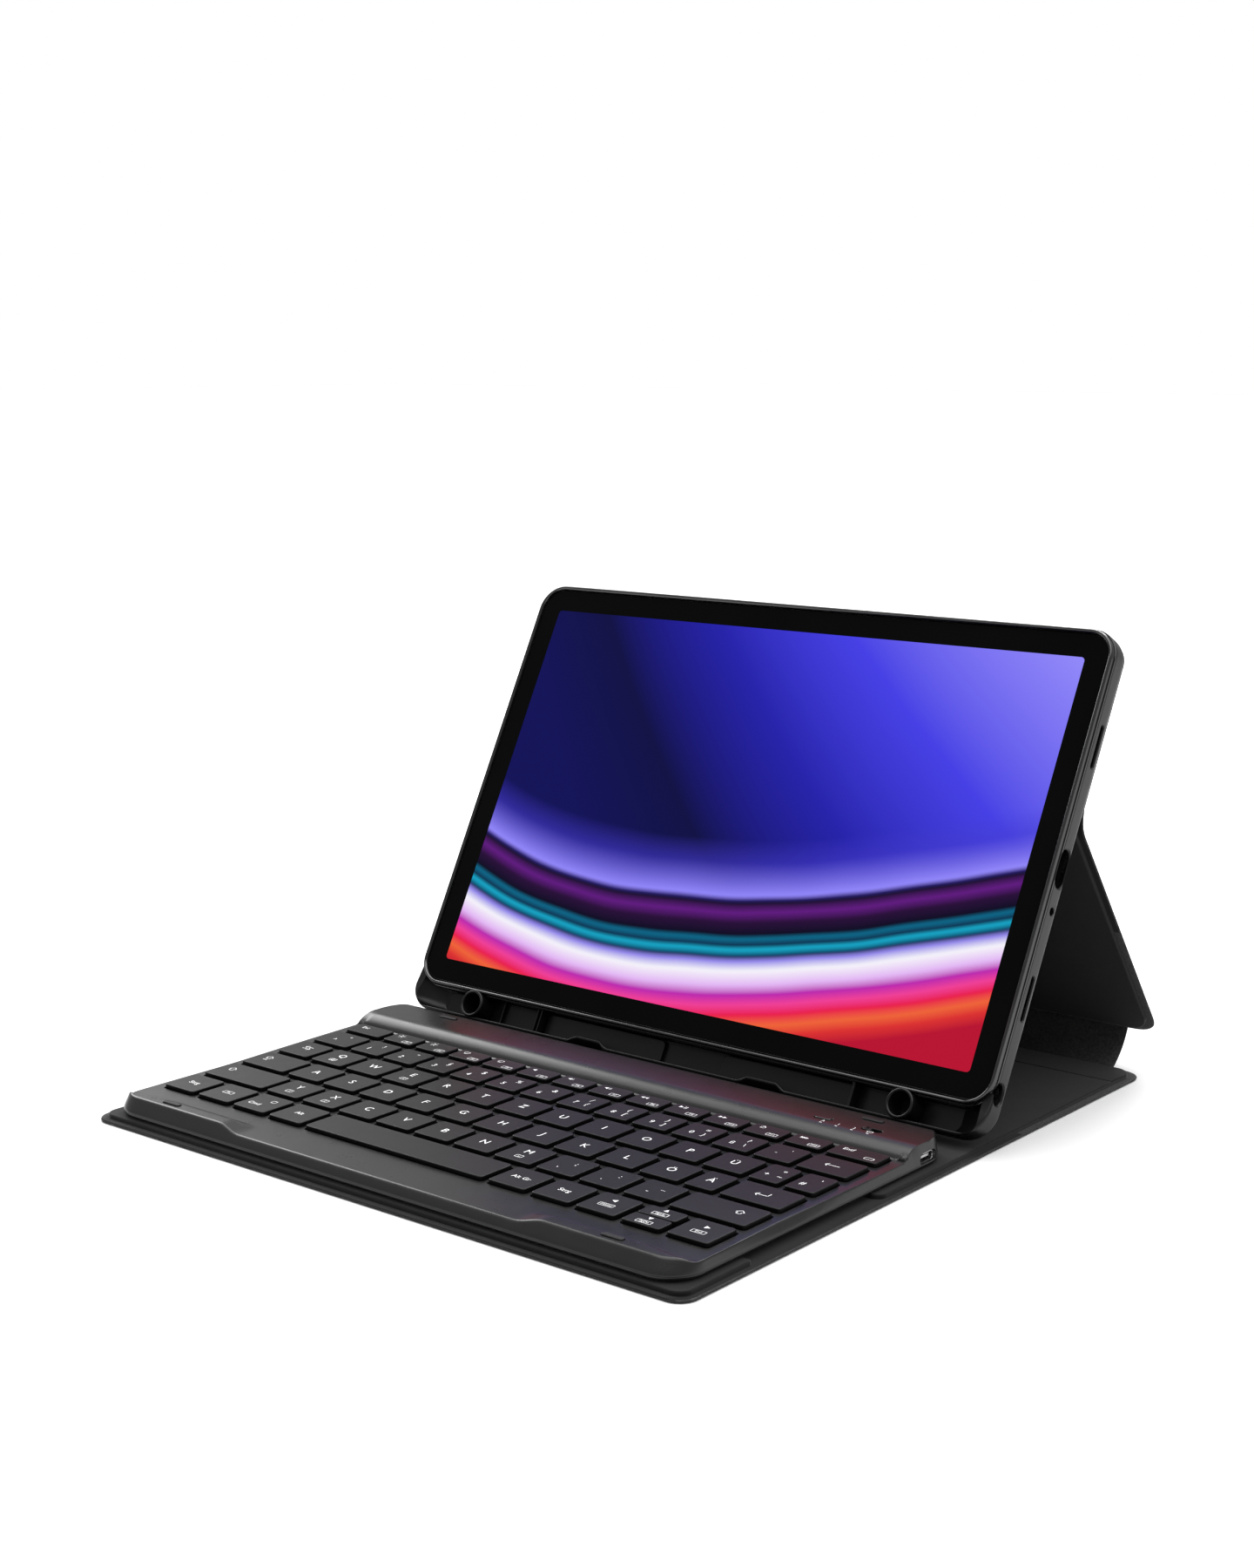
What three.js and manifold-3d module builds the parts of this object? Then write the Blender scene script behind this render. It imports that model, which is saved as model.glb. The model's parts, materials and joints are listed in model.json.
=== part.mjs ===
// Keyboard case for an 11-inch tablet, opened as a typing stand.
// Millimetres. X runs along the long side, +Y to the back, +Z up, and the case stands on z = 0.
//
// From front to back: a stiff flap, its flexible spine, the base panel, the flexible rear spine and the
// kick panel, which folds at the back of the tray that holds the tablet. The keyboard lies on the front.

import * as THREE from "three";
import { mergeVertices } from "three/addons/utils/BufferGeometryUtils.js";
import Module from "manifold-3d";

const wasm = await Module();
wasm.setup();

// ---------------------------------------------------------------- driving dimensions

const HALF_WIDTH = 128; // cover panels
// A panel is a leather sheet with a board on it and a lining wrapped over the board, set back by a margin.
const PANEL = { thickness: 2.4, leather: 0.7, margin: 2.4, lining: 0.5, hem: 1.0, gap: 0.25 };

const FLAP_FRONT_Y = -141.66;
const FLAP_REAR_Y = -103.7; // hinge line between the flap and its spine
const BASE_FRONT_Y = -42.7; // hinge line between the flap spine and the base
const BASE_REAR_Y = 130.7; // hinge line between the base and the rear spine
const HINGE_GAP = 0.4; // half the slot left at each fold

const FLAP_CORNER = 10;
const BASE_CORNER = 9;
const FLAP_SPINE_THICKNESS = 1.5;
const REAR_SPINE = { halfWidth: 115.5, thickness: 1.2, bow: 1.2 };
const KICK = { length: 109.1, angle: 53.3, thickness: 2.8, corner: 9 };
const BASE_MAGNETS = { x: 90, y0: 6, y1: 16 }; // under the tray's lower edge
const FLAP_MAGNETS = { x: 100, y0: -134, y1: -124 }; // near the flap's free edge

// The tray's frame: x across, v up along the display, n out of the display; its origin is the middle
// of the display's lower edge.
const TRAY_TILT = 62.04; // degrees from the table
const TRAY_ORIGIN = { y: 23.75, z: 25.34 };
const FOLD_V = 92.4; // where the kick panel folds away from the back
const COVER_BACK_N = -10.9; // outer face of the back cover
const COVER_CORNER = 9;

const TABLET = {
  halfWidth: 127.15, bottom: -8.85, top: 156.95, thickness: 5.9, radius: 8.5, glass: 0.7,
};
const DISPLAY = { halfWidth: 118.45, height: 148.1, radius: 1.2, gap: 0.3 };
const CAMERA = { x: -113, v: 143, radius: 9 };

const SHELL = { halfWidth: 129.4, bottom: -21.3, top: 159.2, front: 1.3, back: -8.2, radius: 11 };
const POCKET_GAP = 0.3; // between the tablet and the tray's walls
const TROUGH = { halfWidth: 123.5, bottom: -19.9, top: -10.6, floor: -7.0, radius: 4.5 };
const PEN_RING = { x: 97, v: -15.2, outer: 5.3, inner: 4.1, back: -3.0, front: 1.9 };

// Holes through the tray's side walls: middle in v and n, length along v and width along n.
const SPEAKERS = [118.2, 28.7].map((v) => ({ v, n: -4.75, length: 15.6, width: 1.9 }));
const CHARGE_PORT = { v: 74.2, n: -4.4, length: 13.6, width: 6.2 };
const MICROPHONE = { v: 59.3, n: -4.8, length: 2.8, width: 2.7 };
const PEN_EXIT = { v: -4.6, n: -3.4, length: 7.4, width: 5.2 };
const TABLET_PORT = { v: 74.2, n: -3.6, length: 9.0, width: 3.0 };
const TOP_SLOTS = { spans: [[-84, -70.7], [-61.8, -53.7], [-49.3, -41.3]], n0: -4.8, n1: -1.6 };

const KEYBOARD = {
  halfWidth: 122.8, front: -138.3, rear: 6.0, bottom: 2.7, radius: 11,
  seam: 5.0, deck: 7.6, barTop: 11.4, wall: 1.4, floor: 1.0,
};
const RIDGES = { spans: [[-119, -66], [64, 119]], top: 9.4, front: -135.4, rear: -127.6 };
const PAD = { halfLength: 4.1, halfWidth: 1.1, radius: 0.8, sunk: 0.5, proud: 0.5, gap: 0.3 };
const SWITCH = { slot: [99.4, 106.8], knob: [99.7, 103.1], y: -10.5, halfWidth: 1.4, proud: 0.5 };
const BUTTON = { x: 84.2, y: -10.4, halfLength: 3.2, halfWidth: 1.3, gap: 0.3, proud: 0.4 };
const LIGHTS = { x0: 85.3, x1: 104.3, y: -14.5, halfWidth: 0.2, proud: 0.05 };
const USB_PORT = { y: -8.1, z: 5.8, length: 8.9, width: 3.3, wall: 0.35, gap: 0.25 };
const BATTERY = { x0: -84, x1: 52, y0: -14.5, y1: -1.5, top: 9.4 };
const CONTROLLER = { x0: 58, x1: 113, y0: -15.6, y1: 0.6, thickness: 1.0 };
const KEYBOARD_MAGNETS = { x: 96, y0: -132.4, y1: -124.4, thickness: 1.2 };

const KEY = { top: 9.0, bottom: 6.0, radius: 1.2, web: 0.6 };
const KEY_FIELD_HALF = 118.2;
const WELL = { margin: 0.9, radius: 1.5 };
// Each row: the middle of its keys in y, how deep they are, and their widths from left to right.
const WIDE = 15.1;
const KEY_ROWS = [
  { name: "function", y: -26.7, depth: 9.2, widths: [16.9, ...Array(12).fill(14.0), 19.0] },
  { name: "number", y: -41.3, depth: 13.5, widths: [16.9, ...Array(12).fill(14.0), 19.0] },
  { name: "upper", y: -58.3, depth: 14.4, widths: [14.6, ...Array(11).fill(WIDE), 11.0, 11.0] },
  { name: "home", y: -75.8, depth: 14.4, widths: [21.4, ...Array(10).fill(WIDE), 11.0, 22.6] },
  { name: "lower", y: -93.3, depth: 14.4, widths: [29.7, ...Array(10).fill(WIDE), 28.2] },
  { name: "bottom", y: -110.9, depth: 14.8, widths: [14.8, WIDE, WIDE, WIDE, 78.6, 15, 15, 15, 14.4, 15] },
];

// ---------------------------------------------------------------- materials

const finish = (color, roughness, metalness = 0) =>
  new THREE.MeshStandardMaterial({ color, roughness, metalness });
const LEATHER = finish(0x2b2b2d, 0.62);
const LINING = finish(0x3a3a3c, 0.85);
const BOARD = finish(0x8a7a62, 0.9);
const MAGNET = finish(0x9a9aa0, 0.35, 0.9);
const TRAY_RUBBER = finish(0x4a4a4c, 0.55);
const TABLET_METAL = finish(0x55565a, 0.35, 0.8);
const TABLET_FRONT = finish(0x2a2a90, 0.1);
const KEYBOARD_CASE = finish(0x454548, 0.45);
const KEYCAP = finish(0x262628, 0.5);
const PAD_RUBBER = finish(0x1c1c1d, 0.8);
const CIRCUIT = finish(0x1f4d2e, 0.6);
const BATTERY_WRAP = finish(0xb0b4b8, 0.4);
const PORT_METAL = finish(0xc4c6c8, 0.3, 0.9);
const LIGHT_GUIDE = finish(0xd8e0e8, 0.3);

// ---------------------------------------------------------------- solids

function toSolid(geometry) {
  const bare = geometry.index ? geometry.toNonIndexed() : geometry.clone();
  bare.deleteAttribute("normal");
  bare.deleteAttribute("uv");
  const merged = mergeVertices(bare, 1e-4);
  return new wasm.Manifold(new wasm.Mesh({
    numProp: 3,
    vertProperties: merged.getAttribute("position").array,
    triVerts: new Uint32Array(merged.index.array),
  }));
}

function toGeometry(solid) {
  const mesh = solid.getMesh();
  const geometry = new THREE.BufferGeometry();
  geometry.setAttribute("position", new THREE.BufferAttribute(mesh.vertProperties.slice(), 3));
  geometry.setIndex(new THREE.BufferAttribute(mesh.triVerts.slice(), 1));
  const faceted = geometry.toNonIndexed();
  faceted.computeVertexNormals();
  return faceted;
}

const join = (...solids) => solids.reduce((all, next) => all.add(next));
const cut = (body, ...tools) => tools.reduce((rest, tool) => rest.subtract(tool), body);

// An outline with a radius of its own at each corner: left front, right front, right rear, left rear.
function outline(x0, x1, y0, y1, radii, segments = 6) {
  const [a, b, c, d] = Array.isArray(radii) ? radii : [radii, radii, radii, radii];
  const corners = [
    [x0, y0, a, Math.PI], [x1, y0, b, 1.5 * Math.PI], [x1, y1, c, 0], [x0, y1, d, 0.5 * Math.PI],
  ];
  const points = [];
  for (const [x, y, r, start] of corners) {
    if (r === 0) {
      points.push(new THREE.Vector2(x, y));
      continue;
    }
    const cx = x + (x === x0 ? r : -r);
    const cy = y + (y === y0 ? r : -r);
    for (let i = 0; i <= segments; i++) {
      const angle = start + (i / segments) * 0.5 * Math.PI;
      points.push(new THREE.Vector2(cx + r * Math.cos(angle), cy + r * Math.sin(angle)));
    }
  }
  return new THREE.Shape(points);
}

// A flat piece between two heights, its rims softened by a bevel if one is given.
function slab(shape, low, high, bevel = 0) {
  const geometry = new THREE.ExtrudeGeometry(shape, {
    depth: high - low - 2 * bevel,
    bevelEnabled: bevel > 0,
    bevelThickness: bevel,
    bevelSize: bevel,
    bevelOffset: -bevel,
    bevelSegments: 2,
  });
  geometry.translate(0, 0, low + bevel);
  return toSolid(geometry);
}

const block = (x0, x1, y0, y1, z0, z1, radius = 0) => slab(outline(x0, x1, y0, y1, radius), z0, z1);

// A profile drawn in y and z, run along X.
function bar(points, x0, x1) {
  const shape = new THREE.Shape(points.map(([y, z]) => new THREE.Vector2(y, z)));
  const geometry = new THREE.ExtrudeGeometry(shape, { depth: x1 - x0, bevelEnabled: false });
  geometry.translate(0, 0, x0);
  const axes = [new THREE.Vector3(0, 1, 0), new THREE.Vector3(0, 0, 1), new THREE.Vector3(1, 0, 0)];
  geometry.applyMatrix4(new THREE.Matrix4().makeBasis(...axes));
  return toSolid(geometry);
}

// A round bar along z.
function rod(x, y, radius, z0, z1, segments = 24) {
  const geometry = new THREE.CylinderGeometry(radius, radius, z1 - z0, segments);
  geometry.rotateX(Math.PI / 2);
  geometry.translate(x, y, (z0 + z1) / 2);
  return toSolid(geometry);
}

// A bar along X with an oval section: its length runs along y and its width along z.
function ovalBar(x0, x1, y, z, length, width) {
  const round = 0.49 * width;
  const section = outline(y - length / 2, y + length / 2, z - width / 2, z + width / 2, round, 4);
  return bar(section.getPoints().map((point) => [point.x, point.y]), x0, x1);
}

// ---------------------------------------------------------------- groups

const radians = THREE.MathUtils.degToRad;
const group = new THREE.Group();

const tray = new THREE.Group();
tray.position.set(0, TRAY_ORIGIN.y, TRAY_ORIGIN.z);
tray.rotation.x = radians(TRAY_TILT);
group.add(tray);

// A point of the tray's frame in the part's frame, as [y, z].
function fromTray(v, n) {
  const c = Math.cos(radians(TRAY_TILT));
  const s = Math.sin(radians(TRAY_TILT));
  return [TRAY_ORIGIN.y + v * c - n * s, TRAY_ORIGIN.z + v * s + n * c];
}

const FOLD = fromTray(FOLD_V, COVER_BACK_N); // hinge line between the kick panel and the back cover
const kick = new THREE.Group(); // y up along the kick panel, z into the stand, origin on the fold
kick.position.set(0, FOLD[0], FOLD[1]);
kick.rotation.x = radians(180 - KICK.angle);
group.add(kick);

function add(parent, name, solid, material) {
  const mesh = new THREE.Mesh(toGeometry(solid), material);
  mesh.name = name;
  parent.add(mesh);
}

// ---------------------------------------------------------------- cover panels

// A leather sheet and the lining that caps the board on it. The board is returned, still to be added.
// The corners are [left front, right front, right rear, left rear].
function coverPanel(parent, prefix, y0, y1, thickness, radii) {
  const { leather, margin, lining, hem, gap } = PANEL;
  const inset = (by) => outline(
    -HALF_WIDTH + by, HALF_WIDTH - by, y0 + by, y1 - by, radii.map((r) => Math.max(r - by, 0.8)),
  );
  const sheet = slab(outline(-HALF_WIDTH, HALF_WIDTH, y0, y1, radii), 0, leather);
  add(parent, prefix + "_outer_skin", sheet, LEATHER);
  const low = leather + gap;
  const boardTop = thickness - lining - gap;
  const cap = cut(slab(inset(margin), low, thickness), slab(inset(margin + hem), 0, thickness - lining));
  add(parent, prefix + "_lining", cap, LINING);
  return { board: slab(inset(margin + hem + gap), low, boardTop), boardTop };
}

// A row of magnets in a slot of the board.
function magnetStrip(parent, prefix, strip, layers) {
  const { gap, leather } = PANEL;
  const slot = block(-strip.x - gap, strip.x + gap, strip.y0 - gap, strip.y1 + gap, 0, PANEL.thickness);
  add(parent, prefix + "_board", cut(layers.board, slot), BOARD);
  const magnets = block(-strip.x, strip.x, strip.y0, strip.y1, leather + gap, layers.boardTop);
  add(parent, prefix + "_magnet_strip", magnets, MAGNET);
}

function basePanel() {
  const corners = [0, 0, BASE_CORNER, BASE_CORNER];
  const layers = coverPanel(
    group, "base", BASE_FRONT_Y + HINGE_GAP, BASE_REAR_Y - HINGE_GAP, PANEL.thickness, corners,
  );
  magnetStrip(group, "base", BASE_MAGNETS, layers);
}

function flapPanel() {
  const corners = [FLAP_CORNER, FLAP_CORNER, 0, 0];
  const layers = coverPanel(
    group, "flap", FLAP_FRONT_Y, FLAP_REAR_Y - HINGE_GAP, PANEL.thickness, corners,
  );
  magnetStrip(group, "flap", FLAP_MAGNETS, layers);
}

function flapSpine() {
  const y0 = FLAP_REAR_Y + HINGE_GAP;
  const y1 = BASE_FRONT_Y - HINGE_GAP;
  const strip = block(-HALF_WIDTH, HALF_WIDTH, y0, y1, 0, FLAP_SPINE_THICKNESS);
  add(group, "flap_spine", strip, LEATHER);
}

// The rear spine is a curved strip from the base's rear edge up to the kick panel's lower edge.
function rearSpine() {
  const slope = radians(KICK.angle);
  const middle = KICK.thickness / 2;
  const start = [BASE_REAR_Y, PANEL.thickness / 2];
  const end = [
    FOLD[0] + KICK.length * Math.cos(slope) - middle * Math.sin(slope),
    FOLD[1] - KICK.length * Math.sin(slope) - middle * Math.cos(slope),
  ];
  const chord = Math.hypot(end[0] - start[0], end[1] - start[1]);
  const along = [(end[0] - start[0]) / chord, (end[1] - start[1]) / chord];
  const outward = [along[1], -along[0]];
  const steps = 10;
  const side = (offset) => Array.from({ length: steps + 1 }, (_, i) => {
    const t = (HINGE_GAP + (chord - 2 * HINGE_GAP) * (i / steps)) / chord;
    const bow = offset + REAR_SPINE.bow * 4 * t * (1 - t);
    return [0, 1].map((k) => start[k] + along[k] * chord * t + outward[k] * bow);
  });
  const half = REAR_SPINE.thickness / 2;
  const profile = [...side(half), ...side(-half).reverse()];
  add(group, "rear_spine", bar(profile, -REAR_SPINE.halfWidth, REAR_SPINE.halfWidth), LEATHER);
}

function kickPanel() {
  const corners = [KICK.corner, KICK.corner, 0, 0];
  const layers = coverPanel(
    kick, "kick", -KICK.length + HINGE_GAP, -HINGE_GAP, KICK.thickness, corners,
  );
  add(kick, "kick_board", layers.board, BOARD);
}

// ---------------------------------------------------------------- tray and back cover

const FAR = 20; // how far a cutting tool runs past the wall that it goes through

const cameraHole = rod(CAMERA.x, CAMERA.v, CAMERA.radius, -FAR, 0, 32);

function backCover() {
  const margin = 0.6; // how far the tray's top wall stands past the cover
  const edge = 1; // how far the leather stands past the board
  const shape = (by) => outline(
    -HALF_WIDTH + by, HALF_WIDTH - by, FOLD_V + HINGE_GAP + by, SHELL.top - margin - by,
    [0, 0, COVER_CORNER - by, COVER_CORNER - by],
  );
  const skinInner = COVER_BACK_N + PANEL.leather;
  const skin = slab(shape(0), COVER_BACK_N, skinInner);
  const board = slab(shape(edge), skinInner + PANEL.gap, SHELL.back - PANEL.gap);
  add(tray, "back_cover_skin", cut(skin, cameraHole), LEATHER);
  add(tray, "back_cover_board", cut(board, cameraHole), BOARD);
}

// A hole through the tray's right or left wall.
function sideHole(hole, side = 1) {
  const inner = TROUGH.halfWidth - 1;
  const [x0, x1] = side > 0 ? [inner, inner + FAR] : [-inner - FAR, -inner];
  return ovalBar(x0, x1, hole.v, hole.n, hole.length, hole.width);
}

function shellTray() {
  const s = SHELL;
  const edge = 0.9;
  const blank = slab(
    outline(-s.halfWidth, s.halfWidth, s.bottom, s.top, s.radius, 8), s.back, s.front, edge,
  );
  const half = TABLET.halfWidth + POCKET_GAP;
  const pocket = slab(outline(
    -half, half, TABLET.bottom - POCKET_GAP, TABLET.top + POCKET_GAP, TABLET.radius + POCKET_GAP, 8,
  ), -TABLET.thickness - POCKET_GAP, FAR);
  const t = TROUGH;
  const trough = slab(outline(-t.halfWidth, t.halfWidth, t.bottom, t.top, t.radius, 5), t.floor, FAR);
  const sideHoles = [
    ...SPEAKERS.flatMap((hole) => [sideHole(hole), sideHole(hole, -1)]),
    sideHole(CHARGE_PORT), sideHole(MICROPHONE), sideHole(PEN_EXIT),
  ];
  const topSlots = TOP_SLOTS.spans.map(([x0, x1]) =>
    block(x0, x1, TABLET.top - 1, TABLET.top + FAR, TOP_SLOTS.n0, TOP_SLOTS.n1));
  const openTray = cut(blank, pocket, trough, cameraHole, ...sideHoles, ...topSlots);
  const r = PEN_RING;
  const rings = [-r.x, r.x].map((x) => rod(x, r.v, r.outer, r.back, r.front));
  const bores = [-r.x, r.x].map((x) => rod(x, r.v, r.inner, t.floor, FAR));
  add(tray, "shell_tray", cut(join(openTray, ...rings), ...bores), TRAY_RUBBER);
}

function tablet() {
  const t = TABLET;
  const d = DISPLAY;
  const face = (by) => outline(
    -t.halfWidth + by, t.halfWidth - by, t.bottom + by, t.top - by, t.radius - by, 8,
  );
  const edge = 0.8;
  const body = slab(face(0), -t.thickness, -t.glass - POCKET_GAP, edge);
  const inner = TABLET.halfWidth - 7;
  const p = TABLET_PORT;
  const port = ovalBar(inner, inner + FAR, p.v, p.n, p.length, p.width);
  add(tray, "tablet_body", cut(body, port), TABLET_METAL);
  const window = outline(
    -d.halfWidth - d.gap, d.halfWidth + d.gap, -d.gap, d.height + d.gap, d.radius + d.gap, 3,
  );
  const glassInset = 0.2;
  const glass = slab(face(glassInset), -t.glass, 0);
  add(tray, "tablet_bezel", cut(glass, slab(window, -FAR, FAR)), TABLET_FRONT);
  const screen = outline(-d.halfWidth, d.halfWidth, 0, d.height, d.radius, 3);
  add(tray, "tablet_display", slab(screen, -t.glass, -0.05), TABLET_FRONT);
}

// ---------------------------------------------------------------- keyboard

// Rubber pads that keep the closed keyboard off the glass.
const PADS = [
  { name: "spacer_pad_front_left", x: -97.6, y: -132.1, floor: RIDGES.top },
  { name: "spacer_pad_front_right", x: 94.8, y: -132.1, floor: RIDGES.top },
  { name: "spacer_pad_rear_left", x: -92.6, y: -2.2, floor: KEYBOARD.barTop },
  { name: "spacer_pad_rear_right", x: 98.2, y: -2.2, floor: KEYBOARD.barTop },
];

// A pad's outline, widened by a gap for the recess that it sits in.
const padShape = (pad, by) => outline(
  pad.x - PAD.halfLength - by, pad.x + PAD.halfLength + by,
  pad.y - PAD.halfWidth - by, pad.y + PAD.halfWidth + by, PAD.radius, 3,
);

// The oval connect button's outline, widened by a gap for its hole.
const buttonShape = (by) => outline(
  BUTTON.x - BUTTON.halfLength - by, BUTTON.x + BUTTON.halfLength + by,
  BUTTON.y - BUTTON.halfWidth - by, BUTTON.y + BUTTON.halfWidth + by, BUTTON.halfWidth, 5,
);

const usbSection = (x0, x1, by) => ovalBar(
  x0, x1, USB_PORT.y, USB_PORT.z, USB_PORT.length + 2 * by, USB_PORT.width + 2 * by,
);

function bottomCase() {
  const k = KEYBOARD;
  const inset = 0.5; // the lower shell stands back from the upper one
  const plan = (by) => outline(
    -k.halfWidth + by, k.halfWidth - by, k.front + by, k.rear - by, k.radius - by, 6,
  );
  const pan = cut(
    slab(plan(inset), k.bottom, k.seam), slab(plan(inset + k.wall), k.bottom + k.floor, FAR),
  );
  const portHole = usbSection(k.halfWidth - 7, k.halfWidth + 7, USB_PORT.gap);
  add(group, "keyboard_bottom_case", cut(pan, portHole), KEYBOARD_CASE);
}

function topFrame() {
  const k = KEYBOARD;
  const low = k.seam + 0.1;
  const section = bar([
    [k.front, low], [k.rear, low], [k.rear - 0.6, k.deck], [k.rear - 4.4, k.barTop - 0.3],
    [k.rear - 6, k.barTop], [-15.9, k.barTop], [-16.8, k.barTop - 0.5], [-19.9, k.deck],
    [-134.4, k.deck], [-136.0, k.deck - 0.7],
  ], -k.halfWidth, k.halfWidth);
  const plan = slab(
    outline(-k.halfWidth, k.halfWidth, k.front, k.rear, k.radius, 6), 0, k.barTop + 1,
  );
  const ridges = RIDGES.spans.map(([x0, x1]) => bar([
    [RIDGES.front, low], [RIDGES.front + 0.5, RIDGES.top - 0.5], [RIDGES.front + 1.2, RIDGES.top],
    [RIDGES.rear - 2, RIDGES.top], [RIDGES.rear, k.deck - 0.4], [RIDGES.rear, low],
  ], x0, x1));
  const first = KEY_ROWS[0];
  const last = KEY_ROWS.at(-1);
  const wellHalf = KEY_FIELD_HALF + WELL.margin;
  const well = block(
    -wellHalf, wellHalf, last.y - last.depth / 2 - WELL.margin, first.y + first.depth / 2 + WELL.margin,
    0, FAR, WELL.radius,
  );
  const roof = k.barTop - 1.3;
  const barRoom = bar([
    [-17.6, 0], [k.rear - 2.2, 0], [k.rear - 2.2, 7.4], [k.rear - 5.4, roof], [-16.0, roof], [-17.6, 8.6],
  ], -k.halfWidth + 3, k.halfWidth - 3);
  const openings = [
    usbSection(k.halfWidth - 7, k.halfWidth + 7, USB_PORT.gap),
    block(...SWITCH.slot, SWITCH.y - SWITCH.halfWidth, SWITCH.y + SWITCH.halfWidth, 0, FAR),
    slab(buttonShape(BUTTON.gap), 0, FAR),
    block(
      LIGHTS.x0 - 0.3, LIGHTS.x1 + 0.3, LIGHTS.y - LIGHTS.halfWidth - 0.2,
      LIGHTS.y + LIGHTS.halfWidth + 0.2, 0, FAR,
    ),
    ...PADS.map((pad) => slab(padShape(pad, PAD.gap), pad.floor - PAD.sunk - 0.1, FAR)),
  ];
  const frame = cut(join(section.intersect(plan), ...ridges), well, barRoom, ...openings);
  add(group, "keyboard_top_frame", frame, KEYBOARD_CASE);
}

function keyboardFittings() {
  const k = KEYBOARD;
  for (const pad of PADS) {
    add(group, pad.name, slab(padShape(pad, 0), pad.floor - PAD.sunk, pad.floor + PAD.proud), PAD_RUBBER);
  }
  const inside = k.bottom + k.floor + 0.1;
  const sheet = block(-KEY_FIELD_HALF, KEY_FIELD_HALF, -118.8, -21.6, inside, inside + 0.5);
  add(group, "key_membrane", sheet, CIRCUIT);
  const cell = block(BATTERY.x0, BATTERY.x1, BATTERY.y0, BATTERY.y1, inside, BATTERY.top, 1.2);
  add(group, "keyboard_battery", cell, BATTERY_WRAP);
  const c = CONTROLLER;
  add(group, "controller_board", block(c.x0, c.x1, c.y0, c.y1, inside, inside + c.thickness), CIRCUIT);
  const m = KEYBOARD_MAGNETS;
  const magnets = block(-m.x, m.x, m.y0, m.y1, inside, inside + m.thickness);
  add(group, "keyboard_magnet_strip", magnets, MAGNET);
  const mouth = usbSection(k.halfWidth - 6.8, k.halfWidth + 1, -USB_PORT.wall);
  const socket = usbSection(k.halfWidth - 8.2, k.halfWidth - 0.7, 0);
  add(group, "usb_c_port", cut(socket, mouth), PORT_METAL);
  const reach = 1.6; // how far the controls go down into the bar
  const [knob0, knob1] = SWITCH.knob;
  const knobHalf = SWITCH.halfWidth - 0.3;
  const knob = block(
    knob0, knob1, SWITCH.y - knobHalf, SWITCH.y + knobHalf, k.barTop - reach, k.barTop + SWITCH.proud, 0.5,
  );
  add(group, "power_switch", knob, PAD_RUBBER);
  const button = slab(buttonShape(0), k.barTop - reach, k.barTop + BUTTON.proud);
  add(group, "connect_button", button, PAD_RUBBER);
  const l = LIGHTS;
  const lights = block(
    l.x0, l.x1, l.y - l.halfWidth, l.y + l.halfWidth, k.barTop - 1, k.barTop + l.proud,
  );
  add(group, "status_light_bar", lights, LIGHT_GUIDE);
}

// ---------------------------------------------------------------- keys

// Names of the keys that are their own pieces, by row and place. The rest of a row is one block.
const SINGLE_KEYS = {
  function: { 0: "key_escape", 13: "key_delete" },
  number: { 13: "key_backspace" },
  upper: { 0: "key_tab" },
  home: { 0: "key_caps_lock", 12: "key_enter" },
  lower: { 0: "key_shift_left", 11: "key_shift_right" },
  bottom: {
    0: "key_control_left", 1: "key_function", 2: "key_command", 3: "key_alt", 4: "key_space",
    5: "key_alt_right", 6: "key_control_right", 7: "key_arrow_left", 9: "key_arrow_right",
  },
};

const keycap = (x0, x1, y0, y1) => slab(outline(x0, x1, y0, y1, KEY.radius, 2), KEY.bottom, KEY.top);

function keyRow(row) {
  const y0 = row.y - row.depth / 2;
  const y1 = row.y + row.depth / 2;
  const used = row.widths.reduce((sum, w) => sum + w, 0);
  const gap = (2 * KEY_FIELD_HALF - used) / (row.widths.length - 1);
  const caps = [];
  let x = -KEY_FIELD_HALF;
  row.widths.forEach((width, i) => {
    const name = SINGLE_KEYS[row.name][i];
    if (name) add(group, name, keycap(x, x + width, y0, y1), KEYCAP);
    else caps.push([x, x + width]);
    x += width + gap;
  });
  if (row.name === "bottom") {
    const [x0, x1] = caps[0];
    const halfGap = 0.3;
    add(group, "key_arrow_up", keycap(x0, x1, row.y + halfGap, y1), KEYCAP);
    add(group, "key_arrow_down", keycap(x0, x1, y0, row.y - halfGap), KEYCAP);
    return;
  }
  const webHalf = 3;
  const web = block(
    caps[0][0] + 1, caps.at(-1)[1] - 1, row.y - webHalf, row.y + webHalf,
    KEY.bottom, KEY.bottom + KEY.web,
  );
  const rowBlock = join(web, ...caps.map(([x0, x1]) => keycap(x0, x1, y0, y1)));
  add(group, "keys_" + row.name + "_row", rowBlock, KEYCAP);
}

// ---------------------------------------------------------------- the whole case

basePanel();
flapPanel();
flapSpine();
rearSpine();
kickPanel();
backCover();
shellTray();
tablet();
bottomCase();
topFrame();
keyboardFittings();
KEY_ROWS.forEach(keyRow);

export default group;
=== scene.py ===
import json
import math

import bmesh
import bpy
from mathutils import Matrix, Vector


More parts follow.
